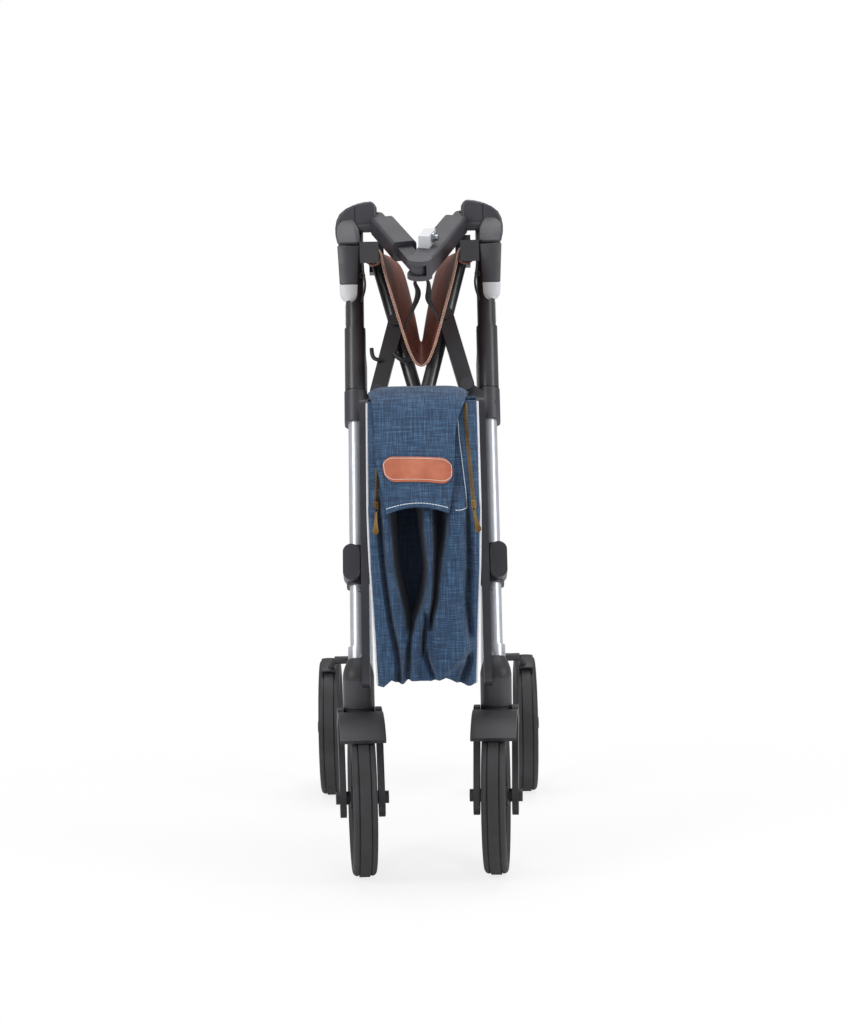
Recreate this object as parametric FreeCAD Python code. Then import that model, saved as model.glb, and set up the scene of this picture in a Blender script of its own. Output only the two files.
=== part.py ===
import FreeCAD, Part
import math
import os

from FreeCAD import Rotation, Vector

# Folded shopping rollator: two leaning side frames joined by a scissor brace.
# Millimetres, +Z up, +Y to the rear, +X to the object's right as seen from the front camera.
# The origin is on the floor, in the middle between the front and the rear wheels.

# Wheels
WHEEL_RADIUS = 100.0
WHEELBASE = 516.0
TYRE_WIDTH = 30.0
TYRE_BAND = 13.0
TYRE_GROOVE = 1.7
TYRE_GROOVE_DEPTH = 3.0
TYRE_SHOULDER_DROP = 1.6
TYRE_SIDE_DROP = 8.0
TYRE_BEAD_DROP = 13.0
TYRE_BEAD_WIDTH = 22.0
TYRE_HEIGHT = 18.0
RIM_FIT = 0.1
RIM_HEIGHT = 7.0
RIM_LIP = 3.0
HUB_RADIUS = 15.0
HUB_WIDTH = 30.0
SPOKE_COUNT = 5
SPOKE_WIDTH_IN = 19.0
SPOKE_WIDTH_OUT = 12.0
SPOKE_DEPTH = 13.0
AXLE_RADIUS = 5.0
RUN_FIT = 0.1
REAR_WHEEL_X = 143.0
CUT_OVERRUN = 5.0

# Side frames
FRAME_X = 88.0
LEAN_DEG = 22.0
LEAN_Y = -205.0
LEAN_RISE = 50.0
LEAN_Z = 2 * WHEEL_RADIUS + LEAN_RISE
LEG_WIDTH = 20.0
LEG_DEPTH = 34.0
LEG_WALL = 2.0
LEG_LOW_U = 4.0
LEG_HIGH_U = 430.0
SLEEVE_LOW_U = 382.5
SLEEVE_HIGH_U = 470.0
SLEEVE_WIDTH = 28.0
SLEEVE_DEPTH = 42.0
SLEEVE_BORE_WIDTH = 24.6
SLEEVE_BORE_DEPTH = 38.6
SLEEVE_PLUG_U = 433.0
POST_WIDTH = 24.0
POST_DEPTH = 38.0
POST_WALL = 2.0
POST_ROOT_U = 290.0
POST_PLUG = 16.0
POST_LOW_U = 434.0
POST_HIGH_U = 625.0

# Rear legs, side struts and the bracket at the top of each side frame
REAR_LEG_WIDTH = 20.0
REAR_LEG_DEPTH = 30.0
APEX_LOW_U = 396.0
APEX_HEIGHT = 44.0
APEX_REACH = 44.0
REAR_LEG_TOP_V = 42.0
REAR_LEG_TOP_U = 418.0
AXLE_CARRIER_RADIUS = 19.0
AXLE_CARRIER_WIDTH = 26.0
AXLE_HEAD_RADIUS = 8.0
AXLE_HEAD_LENGTH = 4.0
STRUT_RADIUS = 8.0
STRUT_WALL = 1.5

# Clamp on the front leg that carries the strut and the brace
CLAMP_U = 141.0
CLAMP_HEIGHT = 52.0
CLAMP_WALL = 4.0
OVAL_WIDTH = 22.0
OVAL_HEIGHT = 48.0
OVAL_DEPTH = 12.0
OVAL_SHIFT = 7.0

# Scissor brace, its links and the sliding collars
BRACE_HALF = 234.0
BRACE_ANGLE_DEG = 14.5
BRACE_PIVOT_U = 127.0
BRACE_RADIUS = 9.5
BRACE_GAP = 1.0
EYE_RADIUS = 10.5
EYE_INSET = 0.5
PIN_RADIUS = 5.0
PIN_HEAD_RADIUS = 8.5
PIN_HEAD_LENGTH = 4.0
SIDE_GAP = 0.6
LINK_RISE = 131.0
LINK_WIDTH = 21.0
LINK_DEPTH = 11.0
ARM_DEPTH = 8.0
ARM_WIDTH = 22.0
COLLAR_ARM_WIDTH = 17.0
COLLAR_LOW_U = 338.0
COLLAR_HEIGHT = 43.0
COLLAR_WALL = 5.0
COLLAR_FIT = 0.4

# Seat rails, seat sling and pull strap
RAIL_RADIUS = 9.0
RAIL_WALL = 1.8
RAIL_X = 60.6
RAIL_RISE = 534.0
RAIL_Z = LEAN_Z + RAIL_RISE
RAIL_FRONT_Y = -158.0
RAIL_REAR_Y = 70.0
RAIL_BLOCK_WIDTH = 20.0
RAIL_BLOCK_HEIGHT = 34.0
RAIL_BLOCK_DEPTH = 12.0
RAIL_PLATE_DEPTH = 7.0
RAIL_BRIDGE = 3.5
CAP_WIDTH = 24.0
CAP_HEIGHT = 27.0
CAP_LENGTH = 20.0
CAP_SHIFT = 4.0
CAP_RISE = 5.0
SLING_THICKNESS = 2.0
SLING_TOP_X = 42.0
SLING_TOP_DROP = 8.0
SLING_TOP_Z = RAIL_Z - SLING_TOP_DROP
SLING_LOW_X = 4.0
SLING_DEPTH = 133.0
SLING_SEAM = 8.0
SLING_LOW_Z = RAIL_Z - SLING_DEPTH
SLING_BOTTOM_Z = SLING_LOW_Z - SLING_SEAM
SLING_FRONT_Y = -135.0
SLING_REAR_Y = 60.0
SLING_HEM_REAR_Y = -34.0
SOFT_GAP = 0.4
STRAP_WIDTH = 20.0
STRAP_THICKNESS = 2.0
STRAP_Y = -112.0
STRAP_HALF = 7.0
STRAP_LOW_X = 14.5
STRAP_LIFT = 52.0
STRAP_RISE = 50.0

# Handle heads, grips, brake levers
HEAD_IN_X = 57.0
HEAD_OUT_X = 113.0
HEAD_RISE = 564.0
HEAD_HEIGHT = 46.0
HEAD_LOW_Z = LEAN_Z + HEAD_RISE
HEAD_HIGH_Z = HEAD_LOW_Z + HEAD_HEIGHT
HEAD_FRONT_Y = -8.0
HEAD_REAR_Y = 66.0
HEAD_CORNER = 15.0
HEAD_SHOULDER = 24.0
NECK_FRONT_Y = -34.0
NECK_DROP = 14.0
NECK_LOW_Z = HEAD_LOW_Z - NECK_DROP
NECK_IN_X = 80.0
NECK_OUT_X = 110.0
GRIP_X = 96.0
GRIP_RISE = 24.0
GRIP_Z = HEAD_LOW_Z + GRIP_RISE
GRIP_RADIUS = 17.0
GRIP_CORE_RADIUS = 11.0
GRIP_LENGTH = 125.0
GRIP_DROP_DEG = 28.0
GRIP_FIT = 0.2
LEVER_X = 95.0
LEVER_PIVOT_Y = -22.0
LEVER_PIVOT_DROP = 21.0
LEVER_PIVOT_Z = HEAD_LOW_Z - LEVER_PIVOT_DROP
LEVER_EYE_RADIUS = 6.5
LEVER_PIN_RADIUS = 2.5
LEVER_LUG = 3.0
LEVER_LUG_RADIUS = 8.0
LEVER_TOP_WIDTH = 24.0
LEVER_TIP_WIDTH = 22.0
LEVER_BLADE_LENGTH = 45.0
LEVER_TIP_LENGTH = 21.0
LEVER_TIP_Z = LEVER_PIVOT_Z - LEVER_BLADE_LENGTH
LEVER_END_Z = LEVER_TIP_Z - LEVER_TIP_LENGTH
LEVER_TOP_Y = -24.0
LEVER_TIP_Y = -50.0
LEVER_THICKNESS = 9.0
LEVER_CORNER = 4.0

# Folding push bar
BAR_TILT_DEG = 17.8
BAR_PIVOT_Y = 27.0
BAR_PIVOT_RISE = 23.0
BAR_PIVOT_Z = HEAD_LOW_Z + BAR_PIVOT_RISE
BAR_WIDTH = 32.0
BAR_HEIGHT = 26.0
BAR_CORNER = 5.0
BAR_START = 38.0
BAR_END_GAP = 76.0
BAR_PIN_RADIUS = 4.0
TONGUE_HEIGHT = 12.0
TONGUE_WIDTH = 20.0
TONGUE_GAP = 1.0
LATCH_NEAR = 42.0
LATCH_FAR = 78.0
LATCH_WIDTH = 14.0
LATCH_HEIGHT = 16.0
LATCH_SHIFT = 2.0
LATCH_PIN_RADIUS = 4.0
LATCH_PIN_LENGTH = 24.0
LATCH_FLANGE_RADIUS = 6.5
LATCH_FLANGE = 2.5

# Steering heads and caster forks
SWIVEL_Y = -213.0
CASTER_TRAIL = 45.0
CASTER_TOE_DEG = 4.0
STEER_WIDTH = 40.0
STEER_DEPTH = 50.0
STEER_GAP = 10.0
STEER_HEIGHT = 39.0
STEER_LOW_Z = 2 * WHEEL_RADIUS + STEER_GAP
STEER_HIGH_Z = STEER_LOW_Z + STEER_HEIGHT
STEER_SLEEVE_U = 33.0
STEER_SLEEVE_WIDTH = 26.0
STEER_SLEEVE_DEPTH = 40.0
STEM_RADIUS = 8.0
STEM_HEIGHT = 34.0
STEM_TOP_Z = STEER_LOW_Z + STEM_HEIGHT
FORK_GAP = 1.0
FORK_HALF = 28.5
FORK_INSIDE = 20.5
FORK_LEG_WIDTH = 26.0
FORK_LEG_END = 12.0
ARCH_GAP = 2.5
ARCH_INSIDE = WHEEL_RADIUS + ARCH_GAP
ARCH_THICKNESS = 6.0
ARCH_FRONT_DEG = 38.0
ARCH_REAR_DEG = 42.0
NUT_RADIUS = 8.0
NUT_LENGTH = 5.0
SPACER_RADIUS = 8.5

# Bag, its side boards, flap and zip pulls
BOARD_X = 77.0
BOARD_THICKNESS = 10.0
BOARD_FRONT_V = -60.0
BOARD_BACK_V = -38.0
BOARD_LOW_U = -29.0
BOARD_HIGH_U = 355.0
BOARD_CORNER = 9.0
TAB_IN = 1.0
TAB_HEIGHT = 14.0
LOW_TAB_U = 8.0
BAG_HALF = 71.4
BAG_LOW_HALF = 64.0
BAG_FLOOR_DROP = 18.0
BAG_KNEE_RISE = 80.0
BAG_CHEST_RISE = 220.0
BAG_MOUTH_RISE = 356.0
BAG_FLOOR_FRONT_Y = -341.0
BAG_KNEE_FRONT_Y = -352.0
BAG_CHEST_FRONT_Y = -322.0
BAG_MOUTH_FRONT_Y = -226.0
BAG_FLOOR_BACK_Y = -272.0
BAG_KNEE_BACK_Y = -230.0
BAG_CHEST_BACK_Y = -172.0
BAG_MOUTH_BACK_Y = -116.0
BAG_FLOOR_WAVE = 8.0
BAG_KNEE_WAVE = 6.0
BAG_CHEST_WAVE = 5.0
BAG_MOUTH_WAVE = 2.0
BAG_LEVELS = (LEAN_Z - BAG_FLOOR_DROP, LEAN_Z + BAG_KNEE_RISE, LEAN_Z + BAG_CHEST_RISE,
              LEAN_Z + BAG_MOUTH_RISE)
BAG_FRONT_Y = (BAG_FLOOR_FRONT_Y, BAG_KNEE_FRONT_Y, BAG_CHEST_FRONT_Y, BAG_MOUTH_FRONT_Y)
BAG_BACK_Y = (BAG_FLOOR_BACK_Y, BAG_KNEE_BACK_Y, BAG_CHEST_BACK_Y, BAG_MOUTH_BACK_Y)
BAG_FOLD_DEPTH = (BAG_FLOOR_WAVE, BAG_KNEE_WAVE, BAG_CHEST_WAVE, BAG_MOUTH_WAVE)
BAG_FOLD_PITCH = 47.0
BAG_FOLD_STEPS = 13
BAG_WALL = 4.0
BAG_FLOOR = 6.0
FLAP_HALF = 50.0
FLAP_HEM_RISE = 242.0
FLAP_MIDDLE_RISE = 290.0
FLAP_TOP_RISE = 362.0
FLAP_HEM_Y = -322.0
FLAP_MIDDLE_Y = -292.0
FLAP_TOP_Y = -236.0
FLAP_LEVELS = (LEAN_Z + FLAP_HEM_RISE, LEAN_Z + FLAP_MIDDLE_RISE, LEAN_Z + FLAP_TOP_RISE)
FLAP_FRONT_Y = (FLAP_HEM_Y, FLAP_MIDDLE_Y, FLAP_TOP_Y)
FLAP_REAR_Y = -122.0
FLAP_THICKNESS = 5.0
FLAP_GAP = 8.0
PULL_X = 61.0
PULL_RISE = 216.0
PULL_Z = LEAN_Z + PULL_RISE
PULL_Y = -338.0
PULL_WIDTH = 8.0
PULL_THICKNESS = 3.0
PULL_LENGTH = 31.0

# Rear brakes and their cables
BRAKE_HINGE_GAP = 20.0
BRAKE_PAD_GAP = 3.0
BRAKE_REACH = WHEEL_RADIUS + BRAKE_HINGE_GAP
BRAKE_PAD_REACH = WHEEL_RADIUS + BRAKE_PAD_GAP
BRAKE_ARM_RADIUS = 7.0
BRAKE_OUT_X = 156.0
BRAKE_PAD_IN_X = 131.0
BRAKE_PAD_DEPTH = 16.0
BRAKE_PAD_LENGTH = 34.0
CABLE_RADIUS = 1.5
# Points of a brake cable: x outward, y, and z counted from the lever's pivot.
CABLE_ROUTE = (
    (77.5, -26.0, 9.0),
    (76.0, -36.0, -25.0),
    (72.0, -44.0, -47.0),
    (78.7, -31.2, -68.0),
)
BEND_SHARE = 0.45

# Shares used by the cuts and by the picking of edges
BULGE_PART = 4
CROWN_PART = 5
CUT_WIDTH_SHARE = 4
PLUG_LENGTH_SHARE = 3
CLOSE_SHARE = 1e-3

REAR_AXLE_Y = WHEELBASE / 2
X_AXIS = Vector(1, 0, 0)
Y_AXIS = Vector(0, 1, 0)
Z_AXIS = Vector(0, 0, 1)
ORIGIN = Vector(0, 0, 0)
SIDES = {"left": -1, "right": 1}
BRACE_ANGLE = math.radians(BRACE_ANGLE_DEG)
BRACE_X = BRACE_HALF * math.sin(BRACE_ANGLE)
BRACE_CENTRE_U = BRACE_PIVOT_U + BRACE_HALF * math.cos(BRACE_ANGLE)
RAIL_U = BRACE_PIVOT_U + 2 * BRACE_HALF * math.cos(BRACE_ANGLE)
BAR_HALF = BRACE_HALF
BAR_PIVOT_X = BRACE_X
COLLAR_PIVOT_U = BRACE_PIVOT_U + 2 * LINK_RISE * math.cos(BRACE_ANGLE)
# Layer of each brace across the scissor plane: its middle, counted to the rear.
BRACE_V = {"a": -(BRACE_RADIUS + BRACE_GAP), "b": BRACE_RADIUS + BRACE_GAP}


def lean(shape):
    """Turns a shape drawn along a leg (x, v, u) to the leg's own lean and place."""
    turned = shape.copy()
    turned.rotate(ORIGIN, X_AXIS, -LEAN_DEG)
    turned.translate(Vector(0, LEAN_Y, LEAN_Z))
    return turned


def lean_point(x, v, u):
    """The row-frame point of a place given along a leg."""
    point = Rotation(X_AXIS, -LEAN_DEG).multVec(Vector(x, v, u))
    return point + Vector(0, LEAN_Y, LEAN_Z)


def bar_place(shape):
    """Turns a shape drawn flat at the bar's pivots to the bar's tilt and height."""
    turned = shape.copy()
    turned.rotate(ORIGIN, X_AXIS, BAR_TILT_DEG)
    turned.translate(Vector(0, BAR_PIVOT_Y, BAR_PIVOT_Z))
    return turned


def box(x0, x1, y0, y1, z0, z1):
    """A block between two corners given in any order."""
    low = Vector(min(x0, x1), min(y0, y1), min(z0, z1))
    return Part.makeBox(abs(x1 - x0), abs(y1 - y0), abs(z1 - z0), low)


def wire(points, closed=True):
    """A wire of straight edges."""
    return Part.makePolygon(points + points[:1] if closed else points)


def oval_wire(width, depth, x, y, z):
    """A slot outline: straight sides along y and round ends."""
    r = width / 2
    h = depth / 2 - r
    a, b = Vector(x - r, y - h, z), Vector(x + r, y - h, z)
    c, d = Vector(x + r, y + h, z), Vector(x - r, y + h, z)
    return Part.Wire([
        Part.Arc(a, Vector(x, y - h - r, z), b).toShape(),
        Part.makeLine(b, c),
        Part.Arc(c, Vector(x, y + h + r, z), d).toShape(),
        Part.makeLine(d, a),
    ])


def oval_bar(width, depth, x, y, z0, z1):
    """A solid bar of slot section between two heights."""
    return Part.Face(oval_wire(width, depth, x, y, z0)).extrude(Vector(0, 0, z1 - z0))


def oval_tube(width, depth, wall, x, y, z0, z1):
    """A tube of slot section."""
    inside = oval_bar(width - 2 * wall, depth - 2 * wall, x, y, z0 - CUT_OVERRUN, z1 + CUT_OVERRUN)
    return oval_bar(width, depth, x, y, z0, z1).cut(inside)


def rod(start, end, radius):
    """A round rod between two points."""
    way = end - start
    return Part.makeCylinder(radius, way.Length, start, way)


def tube(start, end, radius, wall):
    """A round tube between two points."""
    way = end - start
    over = Vector(way).normalize() * CUT_OVERRUN
    return rod(start, end, radius).cut(rod(start - over, end + over, radius - wall))


def plate_bar(start, end, width, y0, y1):
    """A flat bar with round ends in the x-z plane, between two layers of y."""
    way = Vector(end - start).normalize()
    side = Vector(-way.z, 0, way.x) * (width / 2)
    a, b = start + side, end + side
    c, d = end - side, start - side
    for p in (a, b, c, d):
        p.y = y0
    tip = Vector(end.x, y0, end.z) + way * (width / 2)
    tail = Vector(start.x, y0, start.z) - way * (width / 2)
    outline = Part.Wire([
        Part.makeLine(a, b),
        Part.Arc(b, tip, c).toShape(),
        Part.makeLine(c, d),
        Part.Arc(d, tail, a).toShape(),
    ])
    return Part.Face(outline).extrude(Vector(0, y1 - y0, 0))


def round_box(x0, x1, y0, y1, z0, z1, corner):
    """A block whose four upright edges are rounded."""
    block = box(x0, x1, y0, y1, z0, z1)
    upright = [e for e in block.Edges if abs(e.tangentAt(e.FirstParameter).z) > 0.5]
    return block.makeFillet(corner, upright)


def save(node, *solids):
    """Writes the solids of one node."""
    found = [s for shape in solids for s in shape.Solids]
    for solid in found:
        if not solid.isValid() or solid.Volume <= 0:
            raise ValueError("bad solid in " + node)
    whole = found[0] if len(found) == 1 else Part.makeCompound(found)
    whole.exportStep(os.path.join("parts", node + ".step"))
    print(node, len(found), round(sum(s.Volume for s in found)))


# Wheels

def tyre_solid():
    """A tyre about the x axis with a raised middle band between two grooves."""
    band, half = TYRE_BAND / 2, TYRE_WIDTH / 2
    groove = band + TYRE_GROOVE
    top = WHEEL_RADIUS
    floor = top - TYRE_GROOVE_DEPTH
    shoulder = top - TYRE_SHOULDER_DROP
    side = top - TYRE_SIDE_DROP
    bead = top - TYRE_BEAD_DROP
    bore = top - TYRE_HEIGHT
    mid_x = (groove + half) / 2
    mid_r = (shoulder + side) / 2
    bulge = (half - groove) / BULGE_PART

    def edges(sign):
        """The outline of one flank, from the middle band down to the bore."""
        p = [Vector(sign * x, 0, r) for x, r in (
            (band, top), (band, floor), (groove, floor), (groove, shoulder))]
        flank = [Part.makeLine(a, b) for a, b in zip(p[:-1], p[1:])]
        low = Vector(sign * half, 0, side)
        over = Vector(sign * (mid_x + bulge), 0, mid_r + bulge)
        flank.append(Part.Arc(p[-1], over, low).toShape())
        rim = Vector(sign * half, 0, bead)
        seat = Vector(sign * TYRE_BEAD_WIDTH / 2, 0, bore)
        flank.append(Part.makeLine(low, rim))
        flank.append(Part.makeLine(rim, seat))
        return flank

    outline = edges(1)
    outline.append(Part.makeLine(Vector(TYRE_BEAD_WIDTH / 2, 0, bore),
                                 Vector(-TYRE_BEAD_WIDTH / 2, 0, bore)))
    outline += edges(-1)
    outline.append(Part.makeLine(Vector(-band, 0, top), Vector(band, 0, top)))
    face = Part.Face(Part.Wire(Part.__sortEdges__(outline)))
    return face.revolve(ORIGIN, X_AXIS, 360)


def rim_solid():
    """A spoked rim about the x axis, bored for its axle."""
    outer = WHEEL_RADIUS - TYRE_HEIGHT - RIM_FIT
    inner = outer - RIM_HEIGHT
    half = TYRE_BEAD_WIDTH / 2
    start = Vector(-half, 0, 0)
    ring = Part.makeCylinder(outer, TYRE_BEAD_WIDTH, start, X_AXIS)
    ring = ring.cut(Part.makeCylinder(inner, TYRE_BEAD_WIDTH + 2 * CUT_OVERRUN,
                                      Vector(-half - CUT_OVERRUN, 0, 0), X_AXIS))
    hub = Part.makeCylinder(HUB_RADIUS, HUB_WIDTH, Vector(-HUB_WIDTH / 2, 0, 0), X_AXIS)
    root = HUB_RADIUS - RIM_LIP
    reach = inner + RIM_LIP
    x0 = -SPOKE_DEPTH / 2
    spoke = Part.Face(wire([
        Vector(x0, -SPOKE_WIDTH_IN / 2, root), Vector(x0, SPOKE_WIDTH_IN / 2, root),
        Vector(x0, SPOKE_WIDTH_OUT / 2, reach), Vector(x0, -SPOKE_WIDTH_OUT / 2, reach),
    ])).extrude(Vector(SPOKE_DEPTH, 0, 0))
    whole = ring.fuse(hub)
    for k in range(SPOKE_COUNT):
        turned = spoke.copy()
        turned.rotate(ORIGIN, X_AXIS, 360.0 * k / SPOKE_COUNT)
        whole = whole.fuse(turned)
    bore = Part.makeCylinder(AXLE_RADIUS + RUN_FIT, HUB_WIDTH + 2 * CUT_OVERRUN,
                             Vector(-HUB_WIDTH / 2 - CUT_OVERRUN, 0, 0), X_AXIS)
    return whole.cut(bore).removeSplitter()


def moved(shape, x, y, z):
    """A copy of the shape, moved."""
    copy = shape.copy()
    copy.translate(Vector(x, y, z))
    return copy


def toe(shape, side):
    """Turns what hangs on a caster by its small toe-in about the swivel."""
    copy = shape.copy()
    copy.rotate(Vector(side * FRAME_X, SWIVEL_Y, 0), Z_AXIS, side * -CASTER_TOE_DEG)
    return copy


def fork_solid(side):
    """A caster fork: an arch over the wheel, two blades, a block and its stem."""
    x = side * FRAME_X
    axle_y = SWIVEL_Y - CASTER_TRAIL
    outer = ARCH_INSIDE + ARCH_THICKNESS
    ring = Part.makeCylinder(outer, 2 * FORK_HALF, Vector(x - FORK_HALF, axle_y, WHEEL_RADIUS), X_AXIS)
    ring = ring.cut(Part.makeCylinder(ARCH_INSIDE, 2 * FORK_HALF + 2 * CUT_OVERRUN,
                                      Vector(x - FORK_HALF - CUT_OVERRUN, axle_y, WHEEL_RADIUS), X_AXIS))
    reach = 2 * outer

    def ray(degrees):
        """A far point over the axle, at an angle from straight up towards the front."""
        a = math.radians(degrees)
        return Vector(x - FORK_HALF - CUT_OVERRUN, axle_y - reach * math.sin(a),
                      WHEEL_RADIUS + reach * math.cos(a))

    hub = Vector(x - FORK_HALF - CUT_OVERRUN, axle_y, WHEEL_RADIUS)
    wedge = Part.Face(wire([hub, ray(ARCH_FRONT_DEG), ray(0), ray(-ARCH_REAR_DEG)]))
    arch = ring.common(wedge.extrude(Vector(2 * (FORK_HALF + CUT_OVERRUN), 0, 0)))
    top = STEER_LOW_Z - FORK_GAP
    block = oval_bar(STEER_WIDTH, STEER_DEPTH, x, SWIVEL_Y, WHEEL_RADIUS, top)
    clear = Part.makeCylinder(ARCH_INSIDE + ARCH_THICKNESS / 2, CUT_WIDTH_SHARE * FORK_HALF,
                              Vector(x - 2 * FORK_HALF, axle_y, WHEEL_RADIUS), X_AXIS)
    whole = arch.fuse(block.cut(clear))
    axle = Vector(0, axle_y, WHEEL_RADIUS)
    crown = Vector(0, SWIVEL_Y - STEER_DEPTH / CROWN_PART, WHEEL_RADIUS + ARCH_INSIDE - ARCH_THICKNESS / 2)
    way = Vector(crown - axle).normalize()
    foot = axle - way * FORK_LEG_END
    blade_width = FORK_HALF - FORK_INSIDE
    for inner in (x - FORK_HALF, x + FORK_INSIDE):
        flat = plate_bar(Vector(foot.y, 0, foot.z), Vector(crown.y, 0, crown.z), FORK_LEG_WIDTH, 0,
                         blade_width)
        flat.rotate(ORIGIN, Z_AXIS, 90)
        flat.translate(Vector(inner + blade_width, 0, 0))
        whole = whole.fuse(flat)
    whole = whole.common(box(x - FORK_HALF, x + FORK_HALF, axle_y - reach, axle_y + reach, 0, top))
    whole = whole.fuse(rod(Vector(x, SWIVEL_Y, top - FORK_GAP), Vector(x, SWIVEL_Y, STEM_TOP_Z),
                           STEM_RADIUS))
    bore = rod(Vector(x - 2 * FORK_HALF, axle_y, WHEEL_RADIUS),
               Vector(x + 2 * FORK_HALF, axle_y, WHEEL_RADIUS), AXLE_RADIUS + RUN_FIT)
    return whole.cut(bore).removeSplitter()


def front_axle_solids(side):
    """Axle bolt with its head and nut outside the blades, and a spacer on each side of the hub."""
    x = side * FRAME_X
    axle_y = SWIVEL_Y - CASTER_TRAIL
    z = WHEEL_RADIUS
    end = FORK_HALF + NUT_LENGTH
    bolt = rod(Vector(x - end, axle_y, z), Vector(x + end, axle_y, z), AXLE_RADIUS)
    for s in (-1, 1):
        bolt = bolt.fuse(rod(Vector(x + s * FORK_HALF, axle_y, z), Vector(x + s * end, axle_y, z),
                             NUT_RADIUS))
    spacers = []
    for s in (-1, 1):
        inner, outer = x + s * (HUB_WIDTH / 2 + SIDE_GAP), x + s * FORK_INSIDE
        ring = rod(Vector(inner, axle_y, z), Vector(outer, axle_y, z), SPACER_RADIUS)
        hole = rod(Vector(x - end, axle_y, z), Vector(x + end, axle_y, z), AXLE_RADIUS + RUN_FIT)
        spacers.append(ring.cut(hole))
    return [bolt] + spacers


def make_casters():
    """Forks, axles and front wheels, each with its toe-in."""
    tyre, rim = tyre_solid(), rim_solid()
    for name, side in SIDES.items():
        place = (side * FRAME_X, SWIVEL_Y - CASTER_TRAIL, WHEEL_RADIUS)
        save(name + "_fork", toe(fork_solid(side), side))
        save(name + "_front_axle", *[toe(s, side) for s in front_axle_solids(side)])
        save(name + "_front_tyre", toe(moved(tyre, *place), side))
        save(name + "_front_rim", toe(moved(rim, *place), side))


def make_rear_wheels():
    """Rear wheels outside the frames on their stub axles."""
    tyre, rim = tyre_solid(), rim_solid()
    for name, side in SIDES.items():
        place = (side * REAR_WHEEL_X, REAR_AXLE_Y, WHEEL_RADIUS)
        save(name + "_rear_tyre", moved(tyre, *place))
        save(name + "_rear_rim", moved(rim, *place))
        hub_in = side * (REAR_WHEEL_X - HUB_WIDTH / 2 - SIDE_GAP)
        hub_out = side * (REAR_WHEEL_X + HUB_WIDTH / 2 + SIDE_GAP)
        carrier = side * (FRAME_X - AXLE_CARRIER_WIDTH / 2)
        y, z = REAR_AXLE_Y, WHEEL_RADIUS
        hub = rod(Vector(carrier, y, z), Vector(side * (FRAME_X + AXLE_CARRIER_WIDTH / 2), y, z),
                  AXLE_CARRIER_RADIUS)
        shoulder = rod(Vector(carrier, y, z), Vector(hub_in, y, z), SPACER_RADIUS)
        bolt = rod(Vector(carrier, y, z), Vector(hub_out, y, z), AXLE_RADIUS)
        head = rod(Vector(hub_out, y, z), Vector(hub_out + side * AXLE_HEAD_LENGTH, y, z), AXLE_HEAD_RADIUS)
        top = lean_point(side * FRAME_X, REAR_LEG_TOP_V, REAR_LEG_TOP_U)
        way = Vector(top - Vector(side * FRAME_X, y, z)).normalize()
        spigot = rear_leg_core(side, REAR_LEG_WIDTH - 2 * LEG_WALL - RIM_FIT,
                               REAR_LEG_DEPTH - 2 * LEG_WALL - RIM_FIT, 0,
                               PLUG_LENGTH_SHARE * AXLE_CARRIER_RADIUS, way)
        save(name + "_axle_carrier", hub.fuse([shoulder, bolt, head, spigot]).removeSplitter())


# Side frames

def rear_leg_core(side, width, depth, start, end, way):
    """A slot-section bar along a rear leg, between two distances from the rear axle."""
    bar = oval_bar(width, depth, 0, 0, start, end)
    angle = math.degrees(math.atan2(-way.y, way.z))
    bar.rotate(ORIGIN, X_AXIS, angle)
    bar.translate(Vector(side * FRAME_X, REAR_AXLE_Y, WHEEL_RADIUS))
    return bar


def inner_post(play=0.0):
    """The section of the space inside a front leg, less a play all round."""
    return LEG_WIDTH - 2 * (LEG_WALL + play), LEG_DEPTH - 2 * (LEG_WALL + play)


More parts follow.
